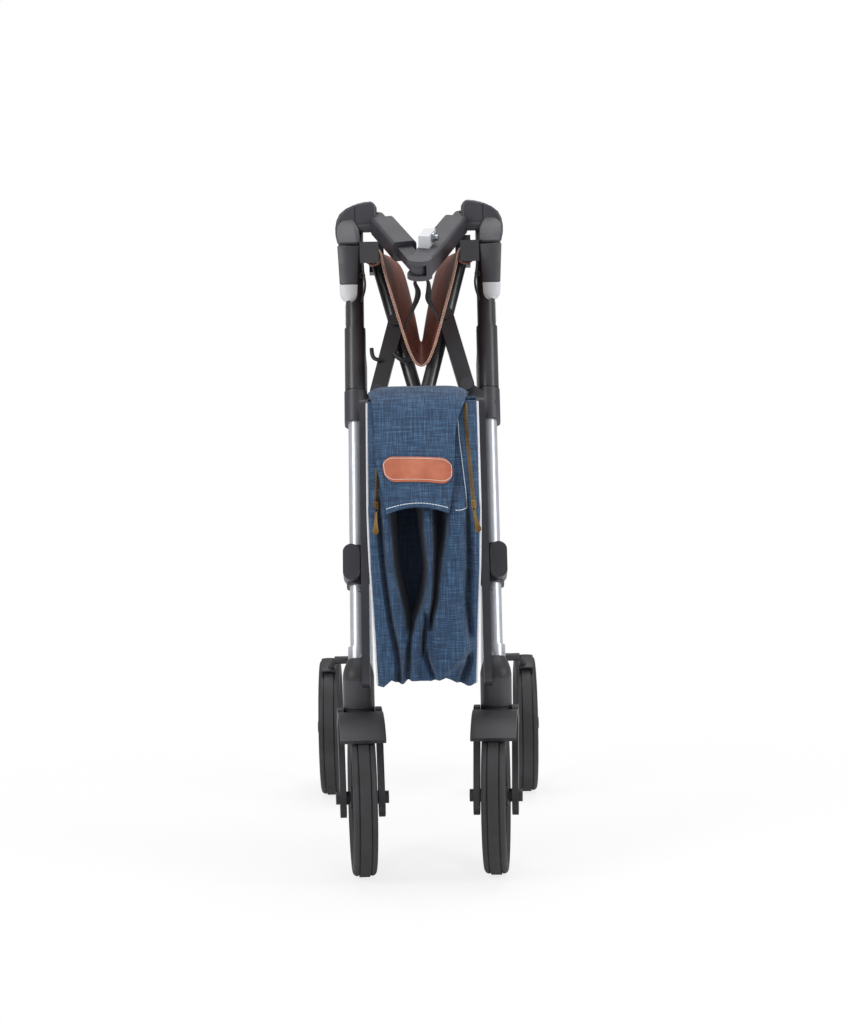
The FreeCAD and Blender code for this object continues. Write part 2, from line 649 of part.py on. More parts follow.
def make_frames():
    """Front legs, post sleeves, rear legs, struts and the bracket at each frame's top."""
    for name, side in SIDES.items():
        x = side * FRAME_X
        leg = oval_tube(LEG_WIDTH, LEG_DEPTH, LEG_WALL, x, 0, LEG_LOW_U, LEG_HIGH_U)
        save(name + "_front_leg", lean(leg))

        sleeve = oval_bar(SLEEVE_WIDTH, SLEEVE_DEPTH, x, 0, SLEEVE_LOW_U, SLEEVE_HIGH_U)
        leg_hole = oval_bar(LEG_WIDTH + RIM_FIT, LEG_DEPTH + RIM_FIT, x, 0, SLEEVE_LOW_U - CUT_OVERRUN,
                            LEG_HIGH_U)
        post_hole = oval_bar(SLEEVE_BORE_WIDTH, SLEEVE_BORE_DEPTH, x, 0, SLEEVE_PLUG_U,
                             SLEEVE_HIGH_U + CUT_OVERRUN)
        way_through = oval_bar(*inner_post(), x, 0, LEG_HIGH_U - CUT_OVERRUN, SLEEVE_PLUG_U + CUT_OVERRUN)
        save(name + "_post_sleeve", lean(sleeve.cut(leg_hole).cut(post_hole).cut(way_through)))

        top = lean_point(x, REAR_LEG_TOP_V, REAR_LEG_TOP_U)
        axle = Vector(x, REAR_AXLE_Y, WHEEL_RADIUS)
        length = (top - axle).Length
        way = Vector(top - axle).normalize()
        low = AXLE_CARRIER_RADIUS
        outer = rear_leg_core(side, REAR_LEG_WIDTH, REAR_LEG_DEPTH, low, length, way)
        inner = rear_leg_core(side, REAR_LEG_WIDTH - 2 * LEG_WALL, REAR_LEG_DEPTH - 2 * LEG_WALL,
                              low - CUT_OVERRUN, length + CUT_OVERRUN, way)
        hub = rod(axle - X_AXIS * AXLE_CARRIER_WIDTH, axle + X_AXIS * AXLE_CARRIER_WIDTH,
                  AXLE_CARRIER_RADIUS + RIM_FIT)
        pivot = axle + way * BRAKE_REACH
        shaft = rod(Vector(side * (FRAME_X + REAR_LEG_WIDTH / 2), pivot.y, pivot.z),
                    Vector(side * (BRAKE_PAD_IN_X - SIDE_GAP), pivot.y, pivot.z), PIN_RADIUS)
        save(name + "_rear_leg", outer.cut(inner).cut(hub), shaft)

        high = APEX_LOW_U + APEX_HEIGHT
        lug = box(x - SLEEVE_WIDTH / 2, x + SLEEVE_WIDTH / 2, 0, APEX_REACH + REAR_LEG_DEPTH / 2,
                  APEX_LOW_U, high)
        core = lean(lug)
        core = core.cut(lean(oval_bar(SLEEVE_WIDTH + RIM_FIT, SLEEVE_DEPTH + RIM_FIT, x, 0,
                                      APEX_LOW_U - CUT_OVERRUN, high + CUT_OVERRUN)))
        socket = rear_leg_core(side, REAR_LEG_WIDTH + RIM_FIT, REAR_LEG_DEPTH + RIM_FIT, low,
                               length + RIM_FIT, way)
        save(name + "_apex_bracket", core.cut(socket))
        make_strut(name, side, way)


def strut_ends(side, way):
    """Where the strut's axis starts on the front leg and meets the rear leg."""
    x = side * FRAME_X
    start = lean_point(x, 0, CLAMP_U)
    rise = (start.z - WHEEL_RADIUS) / way.z
    meet = Vector(x, REAR_AXLE_Y, WHEEL_RADIUS) + way * rise
    return start, meet


def make_strut(name, side, way):
    """The level tube between the front leg's clamp and the rear leg."""
    start, meet = strut_ends(side, way)
    behind = LEG_DEPTH / 2 / math.cos(math.radians(LEAN_DEG)) + CLAMP_WALL / 2
    ahead = REAR_LEG_DEPTH / 2 / way.z
    begin = start + Y_AXIS * behind
    finish = meet - Y_AXIS * (ahead - LEG_WALL)
    length = (lean_point(side * FRAME_X, REAR_LEG_TOP_V, REAR_LEG_TOP_U)
              - Vector(side * FRAME_X, REAR_AXLE_Y, WHEEL_RADIUS)).Length
    leg = rear_leg_core(side, REAR_LEG_WIDTH + RIM_FIT, REAR_LEG_DEPTH + RIM_FIT, 0, length, way)
    front_leg = lean(oval_bar(LEG_WIDTH + RIM_FIT, LEG_DEPTH + RIM_FIT, side * FRAME_X, 0, LEG_LOW_U,
                              LEG_HIGH_U))
    save(name + "_side_strut", tube(begin, finish, STRUT_RADIUS, STRUT_WALL).cut(leg).cut(front_leg))


def pivot_pin(x, u, v_base, v_front):
    """A pin through an eye, from its base forwards, with a head in front of the eye."""
    pin = rod(Vector(x, v_base, u), Vector(x, v_front - SIDE_GAP, u), PIN_RADIUS)
    head = rod(Vector(x, v_front - SIDE_GAP, u), Vector(x, v_front - SIDE_GAP - PIN_HEAD_LENGTH, u),
               PIN_HEAD_RADIUS)
    return pin.fuse(head)


def board_tab(side, low_u):
    """A small tab that carries a bag board in front of a leg."""
    x = side * (BOARD_X + TAB_IN)
    return box(x, x + side * (BOARD_THICKNESS / 2 - TAB_IN), BOARD_BACK_V + RIM_FIT, 0, low_u,
               low_u + TAB_HEIGHT)


def brace_for(side):
    """Which brace's lower end a side frame holds."""
    return "a" if side < 0 else "b"


def make_clamps():
    """The clamp on each front leg: oval front cover, strut seat and the brace's lower pivot."""
    for name, side in SIDES.items():
        x = side * FRAME_X
        low, high = CLAMP_U - CLAMP_HEIGHT / 2, CLAMP_U + CLAMP_HEIGHT / 2
        body = oval_bar(LEG_WIDTH + 2 * CLAMP_WALL, LEG_DEPTH + 2 * CLAMP_WALL, x, 0, low, high)
        face_v = -(LEG_DEPTH / 2 + CLAMP_WALL)
        half = (OVAL_HEIGHT - OVAL_WIDTH) / 2
        cover_x = x + side * OVAL_SHIFT
        cover = plate_bar(Vector(cover_x, 0, CLAMP_U - half), Vector(cover_x, 0, CLAMP_U + half),
                          OVAL_WIDTH,
                          face_v - OVAL_DEPTH, face_v + LEG_WIDTH)
        v_mid = BRACE_V[brace_for(side)]
        base = v_mid + BRACE_RADIUS + SIDE_GAP
        pivot_x = side * BRACE_X
        arm = plate_bar(Vector(pivot_x, 0, BRACE_PIVOT_U), Vector(x, 0, CLAMP_U), ARM_WIDTH, base,
                        base + ARM_DEPTH)
        tie = box(x - side * LEG_WIDTH / 2, x, 0, base + ARM_DEPTH, CLAMP_U - ARM_WIDTH / 2,
                  CLAMP_U + ARM_WIDTH / 2)
        pin = pivot_pin(pivot_x, BRACE_PIVOT_U, base, v_mid - BRACE_RADIUS)
        tab = board_tab(side, CLAMP_U - TAB_HEIGHT / 2)
        whole = lean(body.fuse([cover, arm, tie, pin, tab]))
        leg = oval_bar(LEG_WIDTH + RIM_FIT, LEG_DEPTH + RIM_FIT, x, 0, LEG_LOW_U, LEG_HIGH_U)
        start = lean_point(x, 0, CLAMP_U)
        seat = rod(start, start + Y_AXIS * 2 * LEG_DEPTH, STRUT_RADIUS + RIM_FIT)
        boss = rod(start, start + Y_AXIS * (LEG_DEPTH + CLAMP_WALL), STRUT_RADIUS + CLAMP_WALL)
        save(name + "_leg_clamp", whole.fuse(boss).cut(seat).cut(lean(leg)).removeSplitter())


# Scissor brace

def make_braces():
    """The two crossed tubes with an eye at each end; the rear one carries the middle pin."""
    for key, side in (("a", -1), ("b", 1)):
        v = BRACE_V[key]
        low = Vector(side * BRACE_X, v, BRACE_PIVOT_U)
        high = Vector(-side * BRACE_X, v, RAIL_U)
        centre = Vector(0, v, BRACE_CENTRE_U)
        way = Vector(high - low).normalize()
        shape = rod(low, high, BRACE_RADIUS)
        front, back = v - BRACE_RADIUS + EYE_INSET, v + BRACE_RADIUS - EYE_INSET
        for end in (low, high):
            shape = shape.fuse(rod(Vector(end.x, front, end.z), Vector(end.x, back, end.z), EYE_RADIUS))
        boss_ends = (centre.x, BRACE_CENTRE_U)
        shape = shape.fuse(rod(Vector(boss_ends[0], front, boss_ends[1]),
                               Vector(boss_ends[0], back, boss_ends[1]), EYE_RADIUS))
        link = centre + way * LINK_RISE
        link_front = v - BRACE_RADIUS - SIDE_GAP
        shape = shape.fuse(rod(Vector(link.x, front, link.z), Vector(link.x, v, link.z), EYE_RADIUS))
        holes = [low, high] + ([centre] if key == "a" else [])
        for hole in holes:
            drill = rod(Vector(hole.x, front - CUT_OVERRUN, hole.z),
                        Vector(hole.x, back + CUT_OVERRUN, hole.z),
                        PIN_RADIUS + RUN_FIT)
            shape = shape.cut(drill)
        if key == "b":
            shape = shape.fuse(pivot_pin(centre.x, centre.z, v, BRACE_V["a"] - BRACE_RADIUS))
        shape = shape.fuse(pivot_pin(link.x, link.z, v, link_front - LINK_DEPTH))
        save("brace_front" if key == "a" else "brace_rear", lean(shape.removeSplitter()))


def make_links():
    """The short bars from each brace down to the collar, and the collars on the front legs."""
    for name, side in SIDES.items():
        key = "a" if side > 0 else "b"
        front = BRACE_V[key] - BRACE_RADIUS - SIDE_GAP
        back = front - LINK_DEPTH
        rise = LINK_RISE
        top = Vector(side * rise * math.sin(BRACE_ANGLE), 0, BRACE_CENTRE_U + rise * math.cos(BRACE_ANGLE))
        low = Vector(side * BRACE_X, 0, COLLAR_PIVOT_U)
        link = plate_bar(low, top, LINK_WIDTH, back, front)
        for end in (low, top):
            link = link.cut(rod(Vector(end.x, back - CUT_OVERRUN, end.z),
                                Vector(end.x, front + CUT_OVERRUN, end.z),
                                PIN_RADIUS + RUN_FIT))
        save(name + "_link", lean(link))

        x = side * FRAME_X
        high_u = COLLAR_LOW_U + COLLAR_HEIGHT
        body = oval_bar(LEG_WIDTH + 2 * COLLAR_WALL, LEG_DEPTH + 2 * COLLAR_WALL, x, 0, COLLAR_LOW_U,
                        high_u)
        base = front + SIDE_GAP
        arm = plate_bar(low, Vector(x, 0, COLLAR_LOW_U + COLLAR_HEIGHT / 2), COLLAR_ARM_WIDTH, base,
                        base + ARM_DEPTH)
        pin = pivot_pin(low.x, low.z, base, back)
        whole = body.fuse([arm, pin])
        bore = oval_bar(LEG_WIDTH + 2 * COLLAR_FIT, LEG_DEPTH + 2 * COLLAR_FIT, x, 0,
                        COLLAR_LOW_U - CUT_OVERRUN, high_u + LEG_WIDTH)
        save(name + "_collar", lean(whole.cut(bore).removeSplitter()))


# Seat

def rail_end(v):
    """Where a layer across the scissor plane is met at the height of the seat rails."""
    point = lean_point(0, v, RAIL_U)
    return point.y + (RAIL_Z - point.z) * math.tan(math.radians(LEAN_DEG))


def make_rails():
    """The level seat rails: each is carried by a saddle over the top eye of a brace."""
    for name, side in SIDES.items():
        v = BRACE_V["a" if side > 0 else "b"]
        rear = v + BRACE_RADIUS + SIDE_GAP
        front = v - BRACE_RADIUS - SIDE_GAP
        x, half_w, half_h = side * BRACE_X, RAIL_BLOCK_WIDTH / 2, RAIL_BLOCK_HEIGHT / 2
        under = RAIL_U + EYE_RADIUS + SIDE_GAP
        low, high = RAIL_U - half_h, under + RAIL_BRIDGE
        saddle = box(x - half_w, x + half_w, rear, rear + RAIL_BLOCK_DEPTH, low, high)
        plate = box(x - half_w, x + half_w, front - RAIL_PLATE_DEPTH, front, low, high)
        bridge = box(x - half_w, x + half_w, front, rear, under, under + RAIL_BRIDGE)
        pin = rod(Vector(x, rear, RAIL_U), Vector(x, front, RAIL_U), PIN_RADIUS)
        whole = lean(saddle.fuse([plate, bridge, pin]))
        rail_x = side * RAIL_X
        ahead = rail_end(front - RAIL_PLATE_DEPTH / 2)
        behind = rail_end(rear + RAIL_BLOCK_DEPTH / 2)
        first = tube(Vector(rail_x, RAIL_FRONT_Y, RAIL_Z), Vector(rail_x, ahead, RAIL_Z), RAIL_RADIUS,
                     RAIL_WALL)
        second = tube(Vector(rail_x, behind, RAIL_Z), Vector(rail_x, RAIL_REAR_Y, RAIL_Z), RAIL_RADIUS,
                      RAIL_WALL)
        cap_x, cap_z = side * (RAIL_X + CAP_SHIFT), RAIL_Z + CAP_RISE
        cap = box(cap_x - CAP_WIDTH / 2, cap_x + CAP_WIDTH / 2, RAIL_FRONT_Y - RAIL_WALL,
                  RAIL_FRONT_Y + CAP_LENGTH,
                  cap_z - CAP_HEIGHT / 2, cap_z + CAP_HEIGHT / 2)
        socket = rod(Vector(rail_x, RAIL_FRONT_Y, RAIL_Z), Vector(rail_x, 0, RAIL_Z), RAIL_RADIUS + RIM_FIT)
        save(name + "_seat_rail", whole.fuse([first, second]).removeSplitter(), cap.cut(socket))


def make_seat():
    """The seat sling as two hanging halves, each hemmed round its rail."""
    y0, y1 = SLING_FRONT_Y, SLING_REAR_Y
    t = SLING_THICKNESS
    for name, side in SIDES.items():
        rail_x = side * RAIL_X
        outline = wire([
            Vector(side * SLING_TOP_X, y0, SLING_TOP_Z),
            Vector(side * SLING_LOW_X, y0, SLING_LOW_Z),
            Vector(0, y0, SLING_BOTTOM_Z),
            Vector(0, y0, SLING_BOTTOM_Z + t),
            Vector(side * (SLING_LOW_X - t / 2), y0, SLING_LOW_Z + t),
            Vector(side * (SLING_TOP_X - t), y0, SLING_TOP_Z),
        ])
        panel = Part.Face(outline).extrude(Vector(0, y1 - y0, 0))
        start, end = Vector(rail_x, y0, RAIL_Z), Vector(rail_x, SLING_HEM_REAR_Y, RAIL_Z)
        outer = RAIL_RADIUS + SOFT_GAP + t
        web = Part.Face(wire([
            Vector(side * SLING_TOP_X, y0, SLING_TOP_Z),
            Vector(side * (SLING_TOP_X - t), y0, SLING_TOP_Z),
            Vector(rail_x - side * (outer - t), y0, RAIL_Z + t),
            Vector(rail_x - side * (outer - t), y0, RAIL_Z - t),
        ])).extrude(Vector(0, SLING_HEM_REAR_Y - y0, 0))
        core = rod(start - Y_AXIS * t, end + Y_AXIS * t, RAIL_RADIUS + SOFT_GAP)
        save("seat_sling_" + name, panel.fuse([rod(start, end, outer), web]).cut(core).removeSplitter())


def make_strap():
    """The webbing pull loop that hangs between the halves of the seat."""
    t, w = STRAP_THICKNESS, STRAP_WIDTH / 2
    low, high = SLING_BOTTOM_Z + STRAP_LIFT, SLING_BOTTOM_Z + STRAP_LIFT + STRAP_RISE
    legs = [Vector(-STRAP_LOW_X, STRAP_Y - w, low), Vector(-STRAP_HALF, STRAP_Y - w, high),
            Vector(STRAP_HALF, STRAP_Y - w, high), Vector(STRAP_LOW_X, STRAP_Y - w, low)]
    inner = [Vector(STRAP_LOW_X - t, STRAP_Y - w, low), Vector(STRAP_HALF - t, STRAP_Y - w, high - t),
             Vector(t - STRAP_HALF, STRAP_Y - w, high - t), Vector(t - STRAP_LOW_X, STRAP_Y - w, low)]
    save("pull_strap", Part.Face(wire(legs + inner)).extrude(Vector(0, STRAP_WIDTH, 0)))


# Handles

def make_posts():
    """Height-adjustable posts with the moulded heads on top."""
    for name, side in SIDES.items():
        x = side * FRAME_X
        post = oval_tube(POST_WIDTH, POST_DEPTH, POST_WALL, x, 0, POST_LOW_U, POST_HIGH_U)
        width, depth = inner_post(RUN_FIT)
        root = oval_tube(width, depth, POST_WALL, x, 0, POST_ROOT_U, POST_LOW_U + POST_PLUG)
        plug = oval_bar(POST_WIDTH - POST_WALL, POST_DEPTH - POST_WALL, x, 0, POST_LOW_U,
                        POST_LOW_U + POST_PLUG)
        save(name + "_post", lean(post.fuse([root, plug])))
        save(name + "_handle_head", head_solid(side))
        save(name + "_grip", grip_solid(side, GRIP_CORE_RADIUS + GRIP_FIT, GRIP_RADIUS))


def grip_way():
    """The direction of a hand grip, to the rear and down."""
    drop = math.radians(GRIP_DROP_DEG)
    return Vector(0, math.cos(drop), -math.sin(drop))


def grip_line(side):
    """Where the grip's core leaves the head, and where the grip starts on it."""
    drop = math.radians(GRIP_DROP_DEG)
    root = Vector(side * GRIP_X, HEAD_REAR_Y - HEAD_CORNER, GRIP_Z)
    reach = (HEAD_CORNER + GRIP_RADIUS * math.sin(drop) + SIDE_GAP) / math.cos(drop)
    return root, root + grip_way() * reach


def grip_solid(side, bore, radius):
    """A hand grip round its core, closed at the rear end."""
    way = grip_way()
    start = grip_line(side)[1]
    end = start + way * GRIP_LENGTH
    body = rod(start, end, radius)
    body = body.makeFillet(radius / 2,
                           [e for e in body.Edges if e.Closed and e.CenterOfMass.y > start.y + radius])
    return body.cut(rod(start - way * radius, end - way * radius / 2, bore))


def head_solid(side):
    """A handle head: block, neck, slot for the push bar, grip core and lever lugs."""
    block = round_box(side * HEAD_IN_X, side * HEAD_OUT_X, HEAD_FRONT_Y, HEAD_REAR_Y, HEAD_LOW_Z,
                      HEAD_HIGH_Z,
                      HEAD_CORNER / 2)
    corner = [e for e in block.Edges
              if e.CenterOfMass.z > HEAD_HIGH_Z - CLOSE_SHARE * HEAD_HIGH_Z
              and abs(e.CenterOfMass.x) > GRIP_X]
    block = block.makeFillet(HEAD_CORNER / 2, corner[:1])
    neck = round_box(side * NECK_IN_X, side * NECK_OUT_X, NECK_FRONT_Y, HEAD_REAR_Y - HEAD_CORNER,
                     NECK_LOW_Z, HEAD_HIGH_Z - HEAD_SHOULDER / 2, HEAD_CORNER / 2)
    way = grip_way()
    begin, start = grip_line(side)
    core = rod(begin, start + way * (GRIP_LENGTH - GRIP_RADIUS), GRIP_CORE_RADIUS)
    whole = block.fuse([neck, core])
    for s in (-1, 1):
        inner = side * LEVER_X + s * (LEVER_TOP_WIDTH / 2 + SIDE_GAP)
        lug = rod(Vector(inner, LEVER_PIVOT_Y, LEVER_PIVOT_Z),
                  Vector(inner + s * LEVER_LUG, LEVER_PIVOT_Y, LEVER_PIVOT_Z),
                  LEVER_LUG_RADIUS)
        strap = box(inner, inner + s * LEVER_LUG, LEVER_PIVOT_Y - LEVER_LUG_RADIUS,
                    LEVER_PIVOT_Y + LEVER_LUG_RADIUS,
                    LEVER_PIVOT_Z, NECK_LOW_Z + LEVER_LUG)
        whole = whole.fuse([lug, strap])
    ends = [Vector(side * LEVER_X + s * (LEVER_TOP_WIDTH / 2 + LEVER_LUG), LEVER_PIVOT_Y,
                   LEVER_PIVOT_Z) for s in (-1, 1)]
    whole = whole.fuse(rod(ends[0], ends[1], LEVER_PIN_RADIUS))
    half = TONGUE_HEIGHT / 2 + TONGUE_GAP
    side_reach = TONGUE_WIDTH / 2 + TONGUE_GAP
    pivot_x = side * BAR_PIVOT_X
    slot = box(pivot_x + side * side_reach, -pivot_x, -BAR_HALF, side_reach, -half, half)
    ready = whole.cut(bar_place(slot))
    pin = bar_place(rod(Vector(pivot_x, 0, -half - TONGUE_GAP), Vector(pivot_x, 0, half + TONGUE_GAP),
                        BAR_PIN_RADIUS))
    post = lean(oval_bar(POST_WIDTH + RIM_FIT, POST_DEPTH + RIM_FIT, side * FRAME_X, 0, POST_LOW_U,
                         POST_HIGH_U))
    return ready.fuse(pin).cut(post).removeSplitter()


def lever_solid(side, low_z, high_z, width_low, width_high):
    """One length of a brake lever blade between two heights."""
    def place(z):
        """The blade's middle at a height, along its straight slant."""
        share = (LEVER_PIVOT_Z - z) / (LEVER_PIVOT_Z - LEVER_END_Z)
        return LEVER_TOP_Y + (LEVER_TIP_Y - LEVER_TOP_Y) * share

    sections = []
    for z, width in ((low_z, width_low), (high_z, width_high)):
        y, x, t = place(z), side * LEVER_X, LEVER_THICKNESS / 2
        sections.append(wire([Vector(x - width / 2, y - t, z), Vector(x + width / 2, y - t, z),
                              Vector(x + width / 2, y + t, z), Vector(x - width / 2, y + t, z)]))
    return Part.makeLoft(sections, True, True)


def make_levers():
    """Brake levers in front of the posts, each with a pale tip."""
    for name, side in SIDES.items():
        x = side * LEVER_X
        half = LEVER_TOP_WIDTH / 2
        eye = rod(Vector(x - half, LEVER_PIVOT_Y, LEVER_PIVOT_Z),
                  Vector(x + half, LEVER_PIVOT_Y, LEVER_PIVOT_Z),
                  LEVER_EYE_RADIUS)
        top = LEVER_PIVOT_Z - LEVER_PIN_RADIUS
        blade = lever_solid(side, LEVER_TIP_Z, top, LEVER_TIP_WIDTH, LEVER_TOP_WIDTH)
        hole = rod(Vector(x - 2 * half, LEVER_PIVOT_Y, LEVER_PIVOT_Z),
                   Vector(x + 2 * half, LEVER_PIVOT_Y, LEVER_PIVOT_Z),
                   LEVER_PIN_RADIUS + RUN_FIT)
        tip = lever_solid(side, LEVER_END_Z, LEVER_TIP_Z - RUN_FIT, LEVER_TIP_WIDTH, LEVER_TIP_WIDTH)
        round_ends = [e for e in tip.Edges
                      if e.BoundBox.ZMax < LEVER_END_Z + CLOSE_SHARE * LEVER_END_Z
                      and e.BoundBox.YLength > LEVER_THICKNESS / 2]
        save(name + "_brake_lever", eye.fuse(blade).cut(hole).removeSplitter(),
             tip.makeFillet(LEVER_CORNER, round_ends))


# Push bar

def bar_frame(side, shape):
    """Turns a shape drawn from the bar's head pivot along -y to that bar half's folded place."""
    turned = shape.copy()
    turned.rotate(ORIGIN, Z_AXIS, -side * BRACE_ANGLE_DEG)
    turned.translate(Vector(side * BAR_PIVOT_X, 0, 0))
    return bar_place(turned)


def bar_body(start, end):
    """The moulded body of a bar half between two distances from its head pivot."""
    w, h = BAR_WIDTH / 2, BAR_HEIGHT / 2
    body = box(-w, w, -end, -start, -h, h)
    long_edges = [e for e in body.Edges if abs(e.tangentAt(e.FirstParameter).y) > 0.5]
    return body.makeFillet(BAR_CORNER, long_edges)


def flat_tongue(start, end, width, height):
    """A flat round-ended tongue between two distances from the head pivot."""
    shape = plate_bar(Vector(0, 0, -start), Vector(0, 0, -end), width, -height / 2, height / 2)
    shape.rotate(ORIGIN, X_AXIS, -90)
    return shape


def make_bars():
    """The two halves of the folding push bar, joined by a pin at the middle."""
    half_tongue = TONGUE_HEIGHT / 2
    clear = half_tongue + TONGUE_GAP
    root = BAR_START + BAR_WIDTH / 2
    left_end = BAR_HALF - BAR_END_GAP
    left = bar_body(BAR_START, left_end).fuse(flat_tongue(0, root, TONGUE_WIDTH, TONGUE_HEIGHT))
    left = left.fuse(flat_tongue(left_end - BAR_WIDTH / 2, BAR_HALF, TONGUE_WIDTH, TONGUE_HEIGHT))
    apex_hole = rod(Vector(0, -BAR_HALF, -BAR_HEIGHT), Vector(0, -BAR_HALF, BAR_HEIGHT),
                    BAR_PIN_RADIUS + RUN_FIT)
    head_hole = rod(Vector(0, 0, -BAR_HEIGHT), Vector(0, 0, BAR_HEIGHT), BAR_PIN_RADIUS + RUN_FIT)
    save("push_bar_left", bar_frame(-1, left.cut(apex_hole).cut(head_hole).removeSplitter()))

    right = bar_body(BAR_START, BAR_HALF)
    nose = rod(Vector(0, -BAR_HALF, -BAR_HEIGHT / 2), Vector(0, -BAR_HALF, BAR_HEIGHT / 2), BAR_WIDTH / 2)
    right = right.fuse([nose, flat_tongue(0, root, TONGUE_WIDTH, TONGUE_HEIGHT)])
    wide = BAR_WIDTH / 2 + TONGUE_GAP
    reach = TONGUE_WIDTH / 2 + TONGUE_GAP
    swing = [Vector(reach, -BAR_HALF - 2 * wide, -clear), Vector(reach + TONGUE_GAP, -BAR_HALF, -clear),
             Vector(-wide, -BAR_HALF + CUT_WIDTH_SHARE * wide - TONGUE_GAP, -clear),
             Vector(-wide, -BAR_HALF - 2 * wide,
                                                                              -clear)]
    right = right.cut(Part.Face(wire(swing)).extrude(Vector(0, 0, 2 * clear)))
    pin = rod(Vector(0, -BAR_HALF, -BAR_HEIGHT / 2 + TONGUE_GAP),
              Vector(0, -BAR_HALF, BAR_HEIGHT / 2 - TONGUE_GAP),
              BAR_PIN_RADIUS)
    right = right.fuse(pin).cut(head_hole).removeSplitter()

    top = BAR_HEIGHT / 2
    near, far = BAR_HALF - LATCH_NEAR, BAR_HALF - LATCH_FAR
    plate = box(-LATCH_WIDTH + LATCH_SHIFT, LATCH_SHIFT, -near, -far, top, top + LATCH_HEIGHT)
    level = top + LATCH_HEIGHT - LATCH_FLANGE_RADIUS
    mid = -(near + far) / 2
    out = LATCH_SHIFT + SIDE_GAP
    hole = rod(Vector(-BAR_WIDTH, mid, level), Vector(BAR_WIDTH, mid, level), LATCH_PIN_RADIUS + RUN_FIT)
    save("push_bar_right", bar_frame(1, right), bar_frame(1, plate.cut(hole)))
    pin = rod(Vector(-LATCH_WIDTH, mid, level), Vector(-LATCH_WIDTH + LATCH_PIN_LENGTH, mid, level),
              LATCH_PIN_RADIUS)
    flange = rod(Vector(out, mid, level), Vector(out + LATCH_FLANGE, mid, level), LATCH_FLANGE_RADIUS)
    save("latch_pin", bar_frame(1, pin.fuse(flange)))


# Steering heads

def make_steering():
    """The housings that hold the caster stems at the foot of each front leg."""
    for name, side in SIDES.items():
        x = side * FRAME_X
        housing = oval_bar(STEER_WIDTH, STEER_DEPTH, x, SWIVEL_Y, STEER_LOW_Z, STEER_HIGH_Z)
        sleeve = oval_bar(STEER_SLEEVE_WIDTH, STEER_SLEEVE_DEPTH, x, 0, -STEER_SLEEVE_WIDTH / 2,
                          STEER_SLEEVE_U)
        tab = board_tab(side, LOW_TAB_U)
        whole = housing.fuse([lean(sleeve), lean(tab)])
        leg = oval_bar(LEG_WIDTH + RIM_FIT, LEG_DEPTH + RIM_FIT, x, 0, LEG_LOW_U, LEG_HIGH_U)
        bore = rod(Vector(x, SWIVEL_Y, WHEEL_RADIUS), Vector(x, SWIVEL_Y, STEM_TOP_Z + RUN_FIT),
                   STEM_RADIUS + RUN_FIT)
        save(name + "_steering_head", whole.cut(lean(leg)).cut(bore).removeSplitter())


# Bag

def bag_wire(level, inset):
    """The bag's outline at a height: three straight sides and a wavy front."""
    z = BAG_LEVELS[level]
    top, low = BAG_LEVELS[-1], BAG_LEVELS[0]
    half = BAG_LOW_HALF + (BAG_HALF - BAG_LOW_HALF) * (z - low) / (top - low) - inset
    back = BAG_BACK_Y[level] - inset
    front = BAG_FRONT_Y[level] + inset
    points = []
    for k in range(BAG_FOLD_STEPS):
        x = -half + 2 * half * k / (BAG_FOLD_STEPS - 1)
        wave = math.cos(2 * math.pi * x / BAG_FOLD_PITCH) * BAG_FOLD_DEPTH[level]
        points.append(Vector(x, front + (wave if 0 < k < BAG_FOLD_STEPS - 1 else 0), z))
    fold = Part.BSplineCurve()
    fold.interpolate(points)
    left, right = Vector(-half, back, z), Vector(half, back, z)
    return Part.Wire([fold.toShape(), Part.makeLine(points[-1], right),
                      Part.makeLine(right, left), Part.makeLine(left, points[0])])


def make_bag():
    """The hanging fabric bag, its flap, side boards and zip pulls."""
    levels = range(len(BAG_LEVELS))
    outer = Part.makeLoft([bag_wire(k, 0) for k in levels], True, True)
    inner = Part.makeLoft([bag_wire(k, BAG_WALL) for k in levels], True, True)
    inner = inner.common(box(-BAG_HALF, BAG_HALF, 2 * BAG_FRONT_Y[0], 0, BAG_LEVELS[0] + BAG_FLOOR,
                             2 * BAG_LEVELS[-1]))
    save("bag_fabric", outer.cut(inner))

    t, gap = FLAP_THICKNESS, FLAP_GAP
    profile = [Vector(-FLAP_HALF, y - gap, z) for y, z in zip(FLAP_FRONT_Y, FLAP_LEVELS)]
    profile.append(Vector(-FLAP_HALF, FLAP_REAR_Y, FLAP_LEVELS[-1]))
    profile.append(Vector(-FLAP_HALF, FLAP_REAR_Y, FLAP_LEVELS[-1] + t))
    profile += [Vector(-FLAP_HALF, y - gap - t, z + (t if z == FLAP_LEVELS[-1] else 0))
                for y, z in reversed(list(zip(FLAP_FRONT_Y, FLAP_LEVELS)))]
    save("bag_flap", Part.Face(wire(profile)).extrude(Vector(2 * FLAP_HALF, 0, 0)))

    for name, side in SIDES.items():
        x = side * BOARD_X
        half = BOARD_THICKNESS / 2
        board = box(x - half, x + half, BOARD_FRONT_V, BOARD_BACK_V, BOARD_LOW_U, BOARD_HIGH_U)
        across = [e for e in board.Edges if abs(e.tangentAt(e.FirstParameter).x) > 0.5]
        save(name + "_bag_board", lean(board.makeFillet(BOARD_CORNER, across)))
        pull_x = side * PULL_X
        pull = plate_bar(Vector(pull_x, 0, PULL_Z - PULL_WIDTH / 2),
                         Vector(pull_x, 0, PULL_Z - PULL_LENGTH + PULL_WIDTH / 2),
                         PULL_WIDTH, PULL_Y, PULL_Y + PULL_THICKNESS)
        save(name + "_zip_pull", pull)


# Brakes and cables

